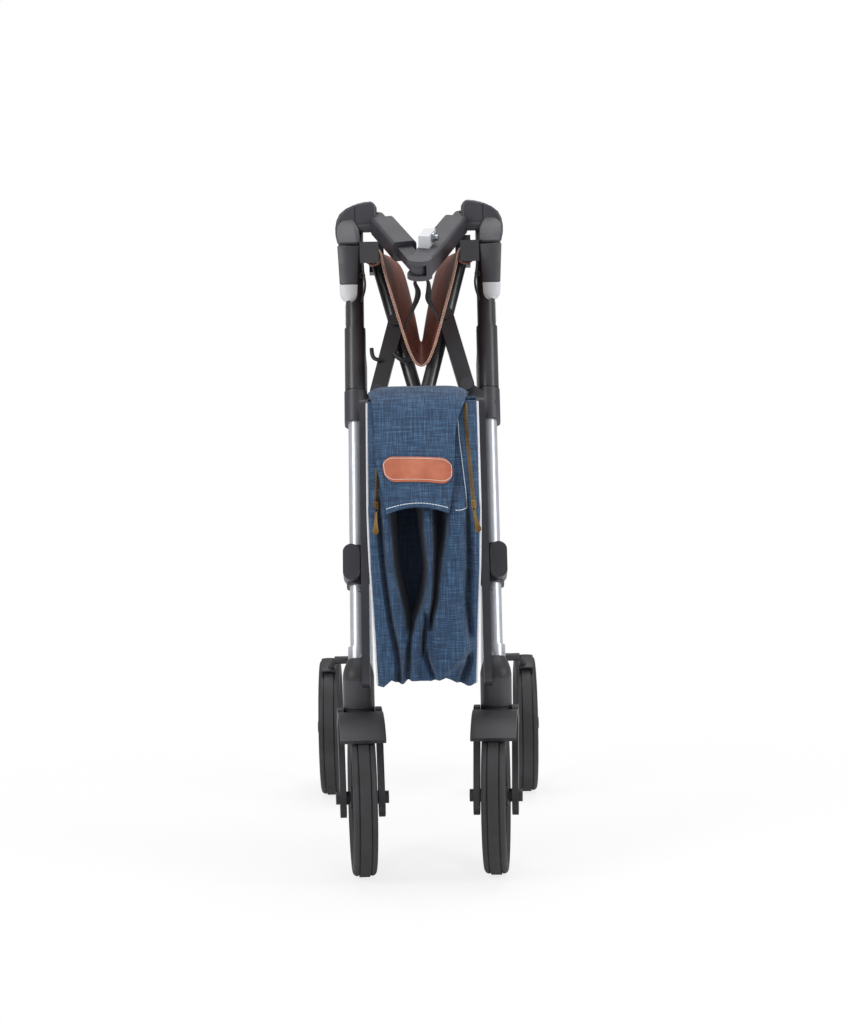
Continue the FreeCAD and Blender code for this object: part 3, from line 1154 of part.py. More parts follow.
def make_brakes():
    """Rear brake shoes, hinged on pins that stand out of the rear legs."""
    for name, side in SIDES.items():
        x = side * FRAME_X
        axle = Vector(x, REAR_AXLE_Y, WHEEL_RADIUS)
        way = Vector(lean_point(x, REAR_LEG_TOP_V, REAR_LEG_TOP_U) - axle).normalize()
        pivot = axle + way * BRAKE_REACH
        out = side * BRAKE_OUT_X
        inner = side * (FRAME_X + REAR_LEG_WIDTH / 2 + SIDE_GAP)
        arm = rod(Vector(inner, pivot.y, pivot.z), Vector(out, pivot.y, pivot.z), BRAKE_ARM_RADIUS)
        pad = box(side * BRAKE_PAD_IN_X, out, 0, BRAKE_PAD_LENGTH, BRAKE_PAD_REACH - BRAKE_REACH,
                  BRAKE_PAD_REACH - BRAKE_REACH + BRAKE_PAD_DEPTH)
        pad.rotate(ORIGIN, X_AXIS, math.degrees(math.atan2(-way.y, way.z)))
        pad.translate(Vector(0, pivot.y, pivot.z))
        hole = rod(Vector(0, pivot.y, pivot.z), Vector(side * BRAKE_PAD_IN_X, pivot.y, pivot.z),
                   PIN_RADIUS + RUN_FIT)
        save(name + "_brake_shoe", arm.fuse(pad).cut(hole).removeSplitter())
        save(name + "_brake_cable", cable(side))


def cable(side):
    """A round cable along straight runs joined by tangent arcs."""
    points = [Vector(side * x, y, LEVER_PIVOT_Z + z) for x, y, z in CABLE_ROUTE]
    edges = []
    last = points[0]
    for before, corner, after in zip(points, points[1:], points[2:]):
        inward, outward = corner - before, after - corner
        turn = inward.getAngle(outward)
        shorter = min(inward.Length, outward.Length)
        cut_back = BEND_SHARE * shorter
        radius = cut_back / math.tan(turn / 2)
        start = corner - Vector(inward).normalize() * cut_back
        end = corner + Vector(outward).normalize() * cut_back
        inside = (Vector(outward).normalize() - Vector(inward).normalize()).normalize()
        middle = corner + inside * (radius / math.cos(turn / 2) - radius)
        edges.append(Part.makeLine(last, start))
        edges.append(Part.Arc(start, middle, end).toShape())
        last = end
        print("bend radius", round(radius, 1))
    edges.append(Part.makeLine(last, points[-1]))
    path = Part.Wire(edges)
    way = points[1] - points[0]
    ring = Part.Wire([Part.makeCircle(CABLE_RADIUS, points[0], way)])
    return path.makePipeShell([ring], True, False)


def main():
    """Builds and writes every node."""
    os.makedirs("parts", exist_ok=True)
    make_casters()
    make_rear_wheels()
    make_frames()
    make_clamps()
    make_braces()
    make_links()
    make_rails()
    make_seat()
    make_strap()
    make_posts()
    make_levers()
    make_bars()
    make_steering()
    make_bag()
    make_brakes()


main()
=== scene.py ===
"""A folded shopping rollator: plastics, metals, denim bag and leather seat, dressed on the CAD frame."""

import logging
import math
from dataclasses import dataclass
from enum import Enum
from typing import Callable, Iterable, Sequence

import bpy
from mathutils import Matrix, Vector

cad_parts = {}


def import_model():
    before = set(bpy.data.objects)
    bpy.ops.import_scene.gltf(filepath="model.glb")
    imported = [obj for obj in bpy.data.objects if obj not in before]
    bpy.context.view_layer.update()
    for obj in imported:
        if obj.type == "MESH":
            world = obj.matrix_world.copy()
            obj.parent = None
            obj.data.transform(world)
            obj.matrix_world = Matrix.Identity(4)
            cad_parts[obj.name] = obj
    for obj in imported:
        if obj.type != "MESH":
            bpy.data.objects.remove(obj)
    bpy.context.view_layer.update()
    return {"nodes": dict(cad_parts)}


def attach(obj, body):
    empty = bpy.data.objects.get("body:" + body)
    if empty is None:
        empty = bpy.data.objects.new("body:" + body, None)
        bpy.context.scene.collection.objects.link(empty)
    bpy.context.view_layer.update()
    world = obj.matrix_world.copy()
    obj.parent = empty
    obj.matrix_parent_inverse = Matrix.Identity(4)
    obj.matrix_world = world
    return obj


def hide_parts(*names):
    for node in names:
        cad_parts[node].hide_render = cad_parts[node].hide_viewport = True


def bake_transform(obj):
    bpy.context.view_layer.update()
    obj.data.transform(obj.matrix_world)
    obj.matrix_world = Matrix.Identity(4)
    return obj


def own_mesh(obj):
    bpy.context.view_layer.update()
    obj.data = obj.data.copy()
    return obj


log = logging.getLogger("rollator")

Point = tuple[float, float, float]
Colour = tuple[float, float, float, float]
MM = 0.001


# Colours and node trees

def hex_rgba(code: str) -> Colour:
    """Turn an sRGB hex code into the linear colour that a shader takes.

    Args:
        code: six hex digits, such as "3E5F82".

    Returns:
        The linear red, green and blue, with an alpha of one.
    """
    parts = [int(code[k:k + 2], 16) / 255 for k in (0, 2, 4)]
    linear = [c / 12.92 if c <= 0.04045 else ((c + 0.055) / 1.055) ** 2.4 for c in parts]
    return (linear[0], linear[1], linear[2], 1.0)


def add_node(tree: bpy.types.NodeTree, kind: str, settings: dict, links: dict) -> bpy.types.Node:
    """Add one node with its settings and its incoming links.

    Args:
        tree: the material's node tree.
        kind: the node's type name, such as "ShaderNodeTexNoise".
        settings: attributes by name, and socket values under the socket's name or number.
        links: sockets to feed, by name or number, each with the (node, output) that feeds it.

    Returns:
        The new node.
    """
    node = tree.nodes.new(kind)
    for name, value in settings.items():
        if isinstance(name, str) and hasattr(node, name):
            setattr(node, name, value)
        else:
            node.inputs[name].default_value = value
    for name, (source, output) in links.items():
        tree.links.new(source.outputs[output], node.inputs[name])
    return node


def new_tree(name: str) -> tuple[bpy.types.Material, bpy.types.NodeTree, bpy.types.Node]:
    """Start a material with only its shader and its output.

    Args:
        name: the material's name.

    Returns:
        The material, its tree and its principled shader.
    """
    material = bpy.data.materials.new(name)
    material.use_nodes = True
    tree = material.node_tree
    tree.nodes.clear()
    shader = tree.nodes.new("ShaderNodeBsdfPrincipled")
    add_node(tree, "ShaderNodeOutputMaterial", {}, {"Surface": (shader, 0)})
    return material, tree, shader


def tint(tree: bpy.types.NodeTree, shader: bpy.types.Node, source: tuple,
         stops: Sequence[tuple[float, str]]) -> None:
    """Colour the surface by a pattern.

    Args:
        tree: the material's node tree.
        shader: the principled shader.
        source: the node and output whose value is coloured.
        stops: places from 0 to 1, each with its hex colour.
    """
    node = add_node(tree, "ShaderNodeValToRGB", {}, {"Fac": source})
    items = node.color_ramp.elements
    while len(items) < len(stops):
        items.new(0.5)
    for item, (place, code) in zip(items, stops):
        item.position = place
        item.color = hex_rgba(code)
    tree.links.new(node.outputs["Color"], shader.inputs["Base Color"])


def roughen(tree: bpy.types.NodeTree, shader: bpy.types.Node, source: tuple, low: float,
            high: float) -> None:
    """Vary the surface's roughness by a pattern.

    Args:
        tree: the material's node tree.
        shader: the principled shader.
        source: the node and output that give the pattern.
        low: the roughness where the pattern is 0.
        high: the roughness where the pattern is 1.
    """
    node = add_node(tree, "ShaderNodeMapRange", {"To Min": low, "To Max": high}, {"Value": source})
    tree.links.new(node.outputs["Result"], shader.inputs["Roughness"])


def relief(tree: bpy.types.NodeTree, shader: bpy.types.Node, source: tuple, depth_mm: float,
           strength: float) -> None:
    """Raise the surface by a pattern.

    Args:
        tree: the material's node tree.
        shader: the principled shader.
        source: the node and output that give the height.
        depth_mm: the height of the relief.
        strength: how much of it shows, from 0 to 1.
    """
    settings = {"Strength": strength, "Distance": depth_mm * MM}
    node = add_node(tree, "ShaderNodeBump", settings, {"Height": source})
    tree.links.new(node.outputs["Normal"], shader.inputs["Normal"])


def scale_for(size_mm: float) -> float:
    """The scale at which one feature of a pattern has the given size."""
    return 1 / (size_mm * MM)


# Finishes

@dataclass(frozen=True)
class Moulded:
    """Injection-moulded or painted surface: one base tone, a fine spark texture and a soft sheen."""

    name: str
    tone: str
    worn: str
    roughness: float = 0.45
    grain_mm: float = 1.2
    relief_mm: float = 0.05
    coat: float = 0.0
    metallic: float = 0.0
    cloud_mm: float = 1000 / 18
    relief_share: float = 0.35
    rough_spread: tuple[float, float] = (0.06, 0.08)

    def build(self) -> bpy.types.Material:
        """Build the material."""
        material, tree, shader = new_tree(self.name)
        place = add_node(tree, "ShaderNodeTexCoord", {}, {})
        cloud = add_node(tree, "ShaderNodeTexNoise", {"Scale": scale_for(self.cloud_mm), "Detail": 3.0},
                         {"Vector": (place, "Object")})
        tint(tree, shader, (cloud, "Fac"), ((0.35, self.tone), (0.75, self.worn)))
        grain = add_node(tree, "ShaderNodeTexNoise", {"Scale": scale_for(self.grain_mm), "Detail": 2.0},
                         {"Vector": (place, "Object")})
        below, above = self.rough_spread
        roughen(tree, shader, (grain, "Fac"), self.roughness - below, self.roughness + above)
        shader.inputs["Metallic"].default_value = self.metallic
        shader.inputs["Coat Weight"].default_value = self.coat
        relief(tree, shader, (grain, "Fac"), self.relief_mm, self.relief_share)
        return material


@dataclass(frozen=True)
class Drawn:
    """Extruded and anodised aluminium: faint lines along the draw, and a satin face."""

    name: str
    tone: str
    streak: str
    roughness: float = 0.34
    line_mm: float = 0.9
    depth_mm: float = 7.2
    run_mm: float = 160.0
    metallic: float = 0.55
    relief_mm: float = 0.02
    relief_share: float = 0.2
    rough_spread: tuple[float, float] = (0.05, 0.07)

    def build(self) -> bpy.types.Material:
        """Build the material."""
        material, tree, shader = new_tree(self.name)
        place = add_node(tree, "ShaderNodeTexCoord", {}, {})
        scale = (scale_for(self.line_mm), scale_for(self.depth_mm), scale_for(self.run_mm))
        turned = add_node(tree, "ShaderNodeMapping", {"Scale": scale}, {"Vector": (place, "Object")})
        lines = add_node(tree, "ShaderNodeTexNoise", {"Scale": 1.0, "Detail": 2.0},
                         {"Vector": (turned, "Vector")})
        tint(tree, shader, (lines, "Fac"), ((0.3, self.streak), (0.7, self.tone)))
        below, above = self.rough_spread
        roughen(tree, shader, (lines, "Fac"), self.roughness - below, self.roughness + above)
        shader.inputs["Metallic"].default_value = self.metallic
        relief(tree, shader, (lines, "Fac"), self.relief_mm, self.relief_share)
        return material


@dataclass(frozen=True)
class Woven:
    """Slub-yarn cloth: uneven warp and weft threads cross, pale on dark.

    The two thread patterns are added, and most of their sum lies within contrast.
    """

    name: str
    deep: str
    mid: str
    pale: str
    thread_mm: float = 1.5
    slub_mm: float = 26.0
    relief_mm: float = 0.35
    relief_share: float = 0.5
    contrast: tuple[float, float] = (0.66, 1.34)
    roughness: float = 0.88
    sheen: float = 0.1
    sheen_roughness: float = 0.5

    def build(self) -> bpy.types.Material:
        """Build the material."""
        material, tree, shader = new_tree(self.name)
        place = add_node(tree, "ShaderNodeTexCoord", {}, {})
        thin, long = scale_for(self.thread_mm), scale_for(self.slub_mm)
        threads = []
        for scale in ((thin, long, long), (long, long, thin)):
            turned = add_node(tree, "ShaderNodeMapping", {"Scale": scale}, {"Vector": (place, "Object")})
            settings = {"Scale": 1.0, "Detail": 3.0, "Roughness": 0.65}
            threads.append(add_node(tree, "ShaderNodeTexNoise", settings, {"Vector": (turned, "Vector")}))
        both = add_node(tree, "ShaderNodeMath", {"operation": "ADD"},
                        {number: (thread, "Fac") for number, thread in enumerate(threads)})
        low, high = self.contrast
        even = add_node(tree, "ShaderNodeMapRange", {"From Min": low, "From Max": high},
                        {"Value": (both, "Value")})
        tint(tree, shader, (even, "Result"), ((0.1, self.deep), (0.5, self.mid), (0.92, self.pale)))
        shader.inputs["Roughness"].default_value = self.roughness
        shader.inputs["Sheen Weight"].default_value = self.sheen
        shader.inputs["Sheen Roughness"].default_value = self.sheen_roughness
        relief(tree, shader, (even, "Result"), self.relief_mm, self.relief_share)
        return material


@dataclass(frozen=True)
class Leather:
    """Tanned leather: pebbled grain, a slightly mottled dye and a low wax sheen."""

    name: str
    deep: str
    pale: str
    grain_mm: float = 1.6
    roughness: float = 0.48
    cloud_mm: float = 1000 / 45
    relief_mm: float = 0.15
    relief_share: float = 0.4

    def build(self) -> bpy.types.Material:
        """Build the material."""
        material, tree, shader = new_tree(self.name)
        place = add_node(tree, "ShaderNodeTexCoord", {}, {})
        cloud = add_node(tree, "ShaderNodeTexNoise", {"Scale": scale_for(self.cloud_mm), "Detail": 5.0},
                         {"Vector": (place, "Object")})
        tint(tree, shader, (cloud, "Fac"), ((0.3, self.deep), (0.7, self.pale)))
        grain = add_node(tree, "ShaderNodeTexVoronoi", {"Scale": scale_for(self.grain_mm)},
                         {"Vector": (place, "Object")})
        shader.inputs["Roughness"].default_value = self.roughness
        relief(tree, shader, (grain, "Distance"), self.relief_mm, self.relief_share)
        return material


class Paint(Enum):
    """The finishes of the walker, each built once."""

    # Satin ABS with a spark-eroded texture: a soft grey sheen on charcoal.
    SHELL = Moulded("abs_charcoal_moulded", "333338", "404046", 0.42, 1.4, 0.06)
    # Glass-filled nylon on forks, clamps and hubs: a little blacker and duller.
    NYLON = Moulded("nylon_black_moulded", "242427", "323236", 0.5, 1.1, 0.05)
    # Powder-coated tube: smooth orange peel with a tight highlight.
    POWDER = Moulded("steel_powder_coated", "2A2A2D", "37373B", 0.36, 2.4, 0.04, 0.15)
    # Solid rubber tyre: matt, slightly dusty on the band.
    TYRE = Moulded("rubber_tyre_moulded", "232325", "343437", 0.62, 1.8, 0.08)
    # Soft grip rubber.
    GRIP = Moulded("rubber_grip_moulded", "202022", "2E2E31", 0.7, 1.0, 0.08)
    # Pale grey ABS lever tips and latch plate.
    PALE = Moulded("abs_pale_grey_moulded", "C3C5C9", "D2D3D6", 0.38, 1.6, 0.03)
    # Zinc-plated steel bolts and pins: bluish grey.
    ZINC = Moulded("steel_zinc_plated", "8E9299", "A9ACB2", 0.3, 0.8, 0.02, 0.0, 0.9)
    # Antique brass zip: warm metal, darkened in its hollows.
    BRASS = Moulded("brass_zip_antique", "5C4520", "A08350", 0.34, 0.7, 0.06, 0.0, 0.8)
    # Clear anodised front and rear legs.
    SILVER = Drawn("aluminium_anodised_drawn", "C9CCD2", "B4B8BF")
    # Slub denim of the bag.
    DENIM = Woven("cotton_denim_slub", "14243A", "213D5C", "456684", 1.1)
    # The same denim darkened with painted shade, for the shaded hollow of the bag's mouth.
    LINING = Woven("cotton_denim_painted_shade", "0E1726", "16243A", "223550")
    # Cotton piping on the bag's edges.
    PIPING = Woven("cotton_piping_woven", "B9BBC2", "D3D4DA", "E6E7EB", 0.8, 3.0, 0.1)
    # Waxed sewing thread.
    THREAD = Woven("cotton_thread_twisted", "C9D4DF", "DCE4EC", "F0F3F6", 0.5, 1.5, 0.05)
    # Pale thread on leather.
    TWINE = Woven("cotton_twine_twisted", "D9B9A8", "E8D0C2", "F3E4DA", 0.5, 1.5, 0.05)
    # Nylon webbing pull strap.
    WEBBING = Woven("nylon_webbing_woven", "141416", "232327", "39393F", 0.9, 4.0, 0.15)
    # Vegetable-tanned patch.
    PATCH = Leather("leather_tan_patch", "9C4F35", "B2684A", 1.3)
    # Brown seat leather.
    SEAT = Leather("leather_brown_seat", "6A382B", "8B5040", 1.6, 0.6)
    # The seat's waxed, pale cut edge.
    CUT_EDGE = Leather("leather_pale_edge", "8C5E4C", "B08570", 0.9, 0.55)

    def get(self) -> bpy.types.Material:
        """Give the finish's material, built at its first use."""
        found = bpy.data.materials.get(self.value.name)
        return found or self.value.build()


# Modelling helpers

def deselect() -> None:
    """Leave nothing selected."""
    if bpy.context.object and bpy.context.object.mode != "OBJECT":
        bpy.ops.object.mode_set(mode="OBJECT")
    bpy.ops.object.select_all(action="DESELECT")


def pick(piece: bpy.types.Object) -> None:
    """Select one object alone and make it active.

    Args:
        piece: the object.
    """
    deselect()
    piece.select_set(True)
    bpy.context.view_layer.objects.active = piece


def settle(piece: bpy.types.Object) -> None:
    """Move the piece's place into its mesh, and leave its object at the origin."""
    pick(piece)
    bpy.ops.object.transform_apply(location=True, rotation=True, scale=True)


def recalculate(piece: bpy.types.Object) -> None:
    """Merge doubles and point all faces outwards.

    Args:
        piece: the object.
    """
    pick(piece)
    bpy.ops.object.mode_set(mode="EDIT")
    bpy.ops.mesh.select_all(action="SELECT")
    bpy.ops.mesh.remove_doubles(threshold=1e-6)
    bpy.ops.mesh.normals_make_consistent(inside=False)
    bpy.ops.object.mode_set(mode="OBJECT")


def apply_modifier(piece: bpy.types.Object, kind: str, **settings: object) -> None:
    """Add one modifier with its settings and apply it.

    Args:
        piece: the object.
        kind: the modifier's type, such as "BEVEL".
        settings: the modifier's attributes.
    """
    pick(piece)
    modifier = piece.modifiers.new(kind.lower(), kind)
    for name, value in settings.items():
        setattr(modifier, name, value)
    bpy.ops.object.modifier_apply(modifier=modifier.name)


def soften(piece: bpy.types.Object, width_mm: float, segments: int = 3, angle: float = 35.0) -> None:
    """Round the hard edges and shade the faces smooth.

    Args:
        piece: the object.
        width_mm: the bevel's width, or 0 to shade only.
        segments: how many facets round each edge.
        angle: the least angle in degrees that counts as an edge.
    """
    if width_mm > 0:
        apply_modifier(piece, "BEVEL", width=width_mm * MM, segments=segments, limit_method="ANGLE",
                       angle_limit=math.radians(angle), harden_normals=False)
    pick(piece)
    bpy.ops.object.shade_smooth_by_angle(angle=math.radians(angle))


def thicken(sheet: bpy.types.Object, thickness: float, offset: float = 0.0) -> None:
    """Face a sheet outwards and give it its thickness.

    Args:
        sheet: the object.
        thickness: the sheet's thickness in millimetres.
        offset: where the wall stands: 0 about the sheet, and -1 inside it.
    """
    recalculate(sheet)
    apply_modifier(sheet, "SOLIDIFY", thickness=thickness * MM, offset=offset)


def coat(piece: bpy.types.Object, *paints: Paint) -> None:
    """Give a piece these finishes and no others.

    Args:
        piece: the object.
        paints: its finishes, in the order of their numbers.
    """
    piece.data.materials.clear()
    for paint in paints:
        piece.data.materials.append(paint.get())


def label(piece: bpy.types.Object, name: str, slot: str, *paints: Paint) -> None:
    """Name a piece, give it its finishes, and report it.

    Args:
        piece: the object.
        name: its name.
        slot: the name of a material slot; not used.
        paints: its finishes.
    """
    piece.name = piece.data.name = name
    coat(piece, *paints)
    log.info("piece %s: %d faces", name, len(piece.data.polygons))


def finish_piece(piece: bpy.types.Object, name: str, paint: Paint, body: str, slot: str) -> None:
    """Name and dress a piece, and make it ride on its body.

    Args:
        piece: the object.
        name: its name.
        paint: its finish.
        body: the CAD body that it moves with.
        slot: the name of a material slot, passed on to label.
    """
    label(piece, name, slot, paint)
    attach(piece, body)


def prism(outline: Sequence[Point], along: Point) -> bpy.types.Object:
    """Extrude a flat outline into a solid.

    Args:
        outline: the outline's corners in millimetres, in order.
        along: the way and length of the extrusion, in millimetres.

    Returns:
        The new object, at the origin.
    """
    deselect()
    bpy.ops.mesh.primitive_circle_add(vertices=len(outline), radius=MM, fill_type="NGON")
    piece = bpy.context.object
    for vertex, corner in zip(piece.data.vertices, outline):
        vertex.co = Vector(corner) * MM
    bpy.ops.object.mode_set(mode="EDIT")
    bpy.ops.mesh.select_all(action="SELECT")
    bpy.ops.mesh.extrude_region_move(TRANSFORM_OT_translate={"value": Vector(along) * MM})
    bpy.ops.object.mode_set(mode="OBJECT")
    settle(piece)
    recalculate(piece)
    return piece


def rod(start: Point, end: Point, radius: float, sides: int = 32) -> bpy.types.Object:
    """A round bar between two points.

    Args:
        start: one end, in millimetres.
        end: the other end, in millimetres.
        radius: its radius in millimetres.
        sides: how many facets round it.

    Returns:
        The new object.
    """
    a, b = Vector(start) * MM, Vector(end) * MM
    turn = (b - a).to_track_quat("Z", "Y").to_euler()
    deselect()
    bpy.ops.mesh.primitive_cylinder_add(vertices=sides, radius=radius * MM, depth=(b - a).length,
                                        location=(a + b) / 2, rotation=turn)
    piece = bpy.context.object
    settle(piece)
    return piece


def block(low: Point, high: Point) -> bpy.types.Object:
    """A box between two corners.

    Args:
        low: one corner, in millimetres.
        high: the opposite corner, in millimetres.

    Returns:
        The new object.
    """
    a = Vector([min(pair) for pair in zip(low, high)]) * MM
    b = Vector([max(pair) for pair in zip(low, high)]) * MM
    deselect()
    bpy.ops.mesh.primitive_cube_add(size=1, location=(a + b) / 2, scale=b - a)
    piece = bpy.context.object
    settle(piece)
    return piece


def cloth(columns: int, rows: int, place: Callable[[float, float], Point]) -> bpy.types.Object:
    """A sheet of mesh whose every point is placed by its share across and up.

    Args:
        columns: how many faces across.
        rows: how many faces up.
        place: gives the point in millimetres for shares from 0 to 1.

    Returns:
        The new object.
    """
    deselect()
    bpy.ops.mesh.primitive_grid_add(x_subdivisions=columns, y_subdivisions=rows, size=1)
    piece = bpy.context.object
    for vertex in piece.data.vertices:
        vertex.co = Vector(place(vertex.co.x + 0.5, vertex.co.y + 0.5)) * MM
    return piece


def join(pieces: Iterable[bpy.types.Object]) -> bpy.types.Object:
    """Join objects into the first of them.

    Args:
        pieces: the objects.

    Returns:
        The first object, which now holds them all.
    """
    group = list(pieces)
    pick(group[0])
    for piece in group[1:]:
        piece.select_set(True)
    if len(group) > 1:
        bpy.ops.object.join()
    return group[0]


def new_curve(radius: float, sides: int) -> bpy.types.Curve:
    """Start a curve whose lines become capped round bars.

    Args:
        radius: the bars' radius in millimetres.
        sides: the bevel resolution.

    Returns:
        The curve, which has no line yet.
    """
    curve = bpy.data.curves.new("line", "CURVE")
    curve.dimensions = "3D"
    curve.bevel_depth = radius * MM
    curve.bevel_resolution = sides
    curve.use_fill_caps = True
    return curve


def add_spline(curve: bpy.types.Curve, kind: str, points: Sequence[Point]) -> bpy.types.Spline:
    """Add a line to a curve.

    Args:
        curve: the curve.
        kind: the line's type, such as "POLY".
        points: its points in millimetres.

    Returns:
        The line.
    """
    spline = curve.splines.new(kind)
    spline.points.add(len(points) - 1)
    for point, where in zip(spline.points, points):
        point.co = (*(Vector(where) * MM), 1.0)
    return spline


def curve_mesh(curve: bpy.types.Curve) -> bpy.types.Object:
    """Turn a curve into an object with a mesh.

    Args:
        curve: the curve, with all its lines.

    Returns:
        The new object.
    """
    piece = bpy.data.objects.new("line", curve)
    bpy.context.collection.objects.link(piece)
    pick(piece)
    bpy.ops.object.convert(target="MESH")
    return bpy.context.object


def wire_mesh(points: Sequence[Point], radius: float, cyclic: bool = False) -> bpy.types.Object:
    """A thin round bar along a smooth line.

    Args:
        points: control points in millimetres.
        radius: the bar's radius in millimetres.
        cyclic: whether the line closes on itself.

    Returns:
        The bar as a mesh.
    """
    curve = new_curve(radius, 3)
    spline = add_spline(curve, "NURBS", points)
    spline.order_u = 3
    spline.use_endpoint_u = not cyclic
    spline.use_cyclic_u = cyclic
    return curve_mesh(curve)


# The front legs' centre line leans back from this depth and height.
LEAN = math.radians(22.0)
LEAN_Y = -205.0
LEAN_Z = 250.0


def lean(x: float, v: float, u: float) -> Point:
    """The place that is v behind the front legs' centre line and u up along it."""
    return (x, LEAN_Y + v * math.cos(LEAN) + u * math.sin(LEAN),
            LEAN_Z - v * math.sin(LEAN) + u * math.cos(LEAN))


class Side(Enum):
    """The walker's two sides, as seen from the front."""

    LEFT = -1
    RIGHT = 1

    @property
    def word(self) -> str:
        """The side's name in lower case."""
        return self.name.lower()


# Stage

@dataclass
class Studio:
    """The pale room, its lamps and the camera at the photograph's angle.

    The camera stands level with the handles and looks slightly down. Its roll and aim were
    matched to the tyres and the handle heads. Each lamp has a name, a place and the side of its
    square in metres, and its power in watts.
    """

    focal_px: float = 2497.0
    image_height_px: float = 1024.0
    height_mm: float = 749.0
    back_mm: float = 3379.0
    aside_mm: float = 3.0
    pitch_deg: float = 5.25
    roll_deg: float = -1.05
    sensor_mm: float = 36.0
    floor_m: float = 9.0
    lamps: tuple[tuple[str, Point, float, float], ...] = (
        ("lamp_left", (-2.6, -2.4, 2.3), 1.6, 62.0),
        ("lamp_right", (2.9, -1.8, 1.9), 1.4, 50.0),
        ("lamp_top", (0.2, 0.4, 3.2), 1.8, 46.0))
    lamp_aim: Point = (0.0, 0.0, 0.45)
    room_light: float = 0.5
    paper: Colour = (0.86, 0.86, 0.86, 1.0)
    paper_roughness: float = 0.95
    shadow_m: tuple[float, float] = (0.35, 1.0)
    shadow_glow: float = 0.8

    def build(self) -> None:
        """Build the world, the floor, the lamps and the camera."""
        self.world()
        self.floor()
        for lamp in self.lamps:
            self.lamp(*lamp)
        self.camera()
        bpy.context.scene.view_settings.view_transform = "Standard"

    def world(self) -> None:
        """Light the room evenly, and show white behind the object."""
        world = bpy.data.worlds.new("studio")
        bpy.context.scene.world = world
        world.use_nodes = True
        tree = world.node_tree
        tree.nodes.clear()
        ray = add_node(tree, "ShaderNodeLightPath", {}, {})
        seen = add_node(tree, "ShaderNodeMath", {"operation": "MAXIMUM"},
                        {0: (ray, "Is Camera Ray"), 1: (ray, "Is Transmission Ray")})
        strength = add_node(tree, "ShaderNodeMapRange", {"To Min": self.room_light, "To Max": 1.0},
                            {"Value": (seen, "Value")})
        sky = add_node(tree, "ShaderNodeBackground", {"Color": (1, 1, 1, 1)},
                       {"Strength": (strength, "Result")})
        add_node(tree, "ShaderNodeOutputWorld", {}, {"Surface": (sky, 0)})

    def floor(self) -> None:
        """Lay a white floor that keeps a faint shadow."""
        deselect()
        bpy.ops.mesh.primitive_plane_add(size=2 * self.floor_m)
        plane = bpy.context.object
        plane.name = "studio_floor"
        material, tree, shader = new_tree("floor_white_paper")
        shader.inputs["Base Color"].default_value = self.paper
        shader.inputs["Roughness"].default_value = self.paper_roughness
        glow = add_node(tree, "ShaderNodeEmission", {"Color": (1, 1, 1, 1), "Strength": 1.0}, {})
        ray = add_node(tree, "ShaderNodeLightPath", {}, {})
        spot = add_node(tree, "ShaderNodeTexCoord", {}, {})
        away = add_node(tree, "ShaderNodeVectorMath", {"operation": "LENGTH"}, {0: (spot, "Object")})
        near, far = self.shadow_m
        fade = add_node(tree, "ShaderNodeMapRange",
                        {"From Min": near, "From Max": far, "To Min": self.shadow_glow, "To Max": 1.0},
                        {"Value": (away, "Value")})
        share = add_node(tree, "ShaderNodeMath", {"operation": "MULTIPLY"},
                         {0: (ray, "Is Camera Ray"), 1: (fade, "Result")})
        both = add_node(tree, "ShaderNodeMixShader", {}, {0: (share, "Value"), 1: (shader, 0), 2: (glow, 0)})
        out = next(node for node in tree.nodes if node.bl_idname == "ShaderNodeOutputMaterial")
        tree.links.new(both.outputs[0], out.inputs["Surface"])
        plane.data.materials.append(material)

    def lamp(self, name: str, place: Point, size: float, power: float) -> None:
        """Hang one soft square lamp that points at the walker's middle.

        Args:
            name: the lamp's name.
            place: where it hangs, in metres.
            size: the side of its square, in metres.
            power: its power in watts.
        """
        data = bpy.data.lights.new(name, "AREA")
        data.energy = power
        data.size = size
        lamp = bpy.data.objects.new(name, data)
        bpy.context.collection.objects.link(lamp)
        lamp.location = place
        lamp.rotation_euler = (Vector(self.lamp_aim) - Vector(place)).to_track_quat("-Z", "Y").to_euler()

    def camera(self) -> None:
        """Set the camera at the photograph's height, distance, pitch and roll."""
        data = bpy.data.cameras.new("camera")
        data.sensor_fit = "VERTICAL"
        data.sensor_height = self.sensor_mm
        data.lens = self.focal_px / self.image_height_px * data.sensor_height
        data.clip_end = 50.0
        camera = bpy.data.objects.new("camera", data)
        bpy.context.collection.objects.link(camera)
        look = Matrix.Rotation(math.radians(90 - self.pitch_deg), 4, "X")
        roll = Matrix.Rotation(math.radians(self.roll_deg), 4, "Z")
        place = Matrix.Translation(Vector((self.aside_mm, -self.back_mm, self.height_mm)) * MM)
        camera.matrix_world = place @ look @ roll
        bpy.context.scene.camera = camera


# Finishes of the CAD nodes that stay

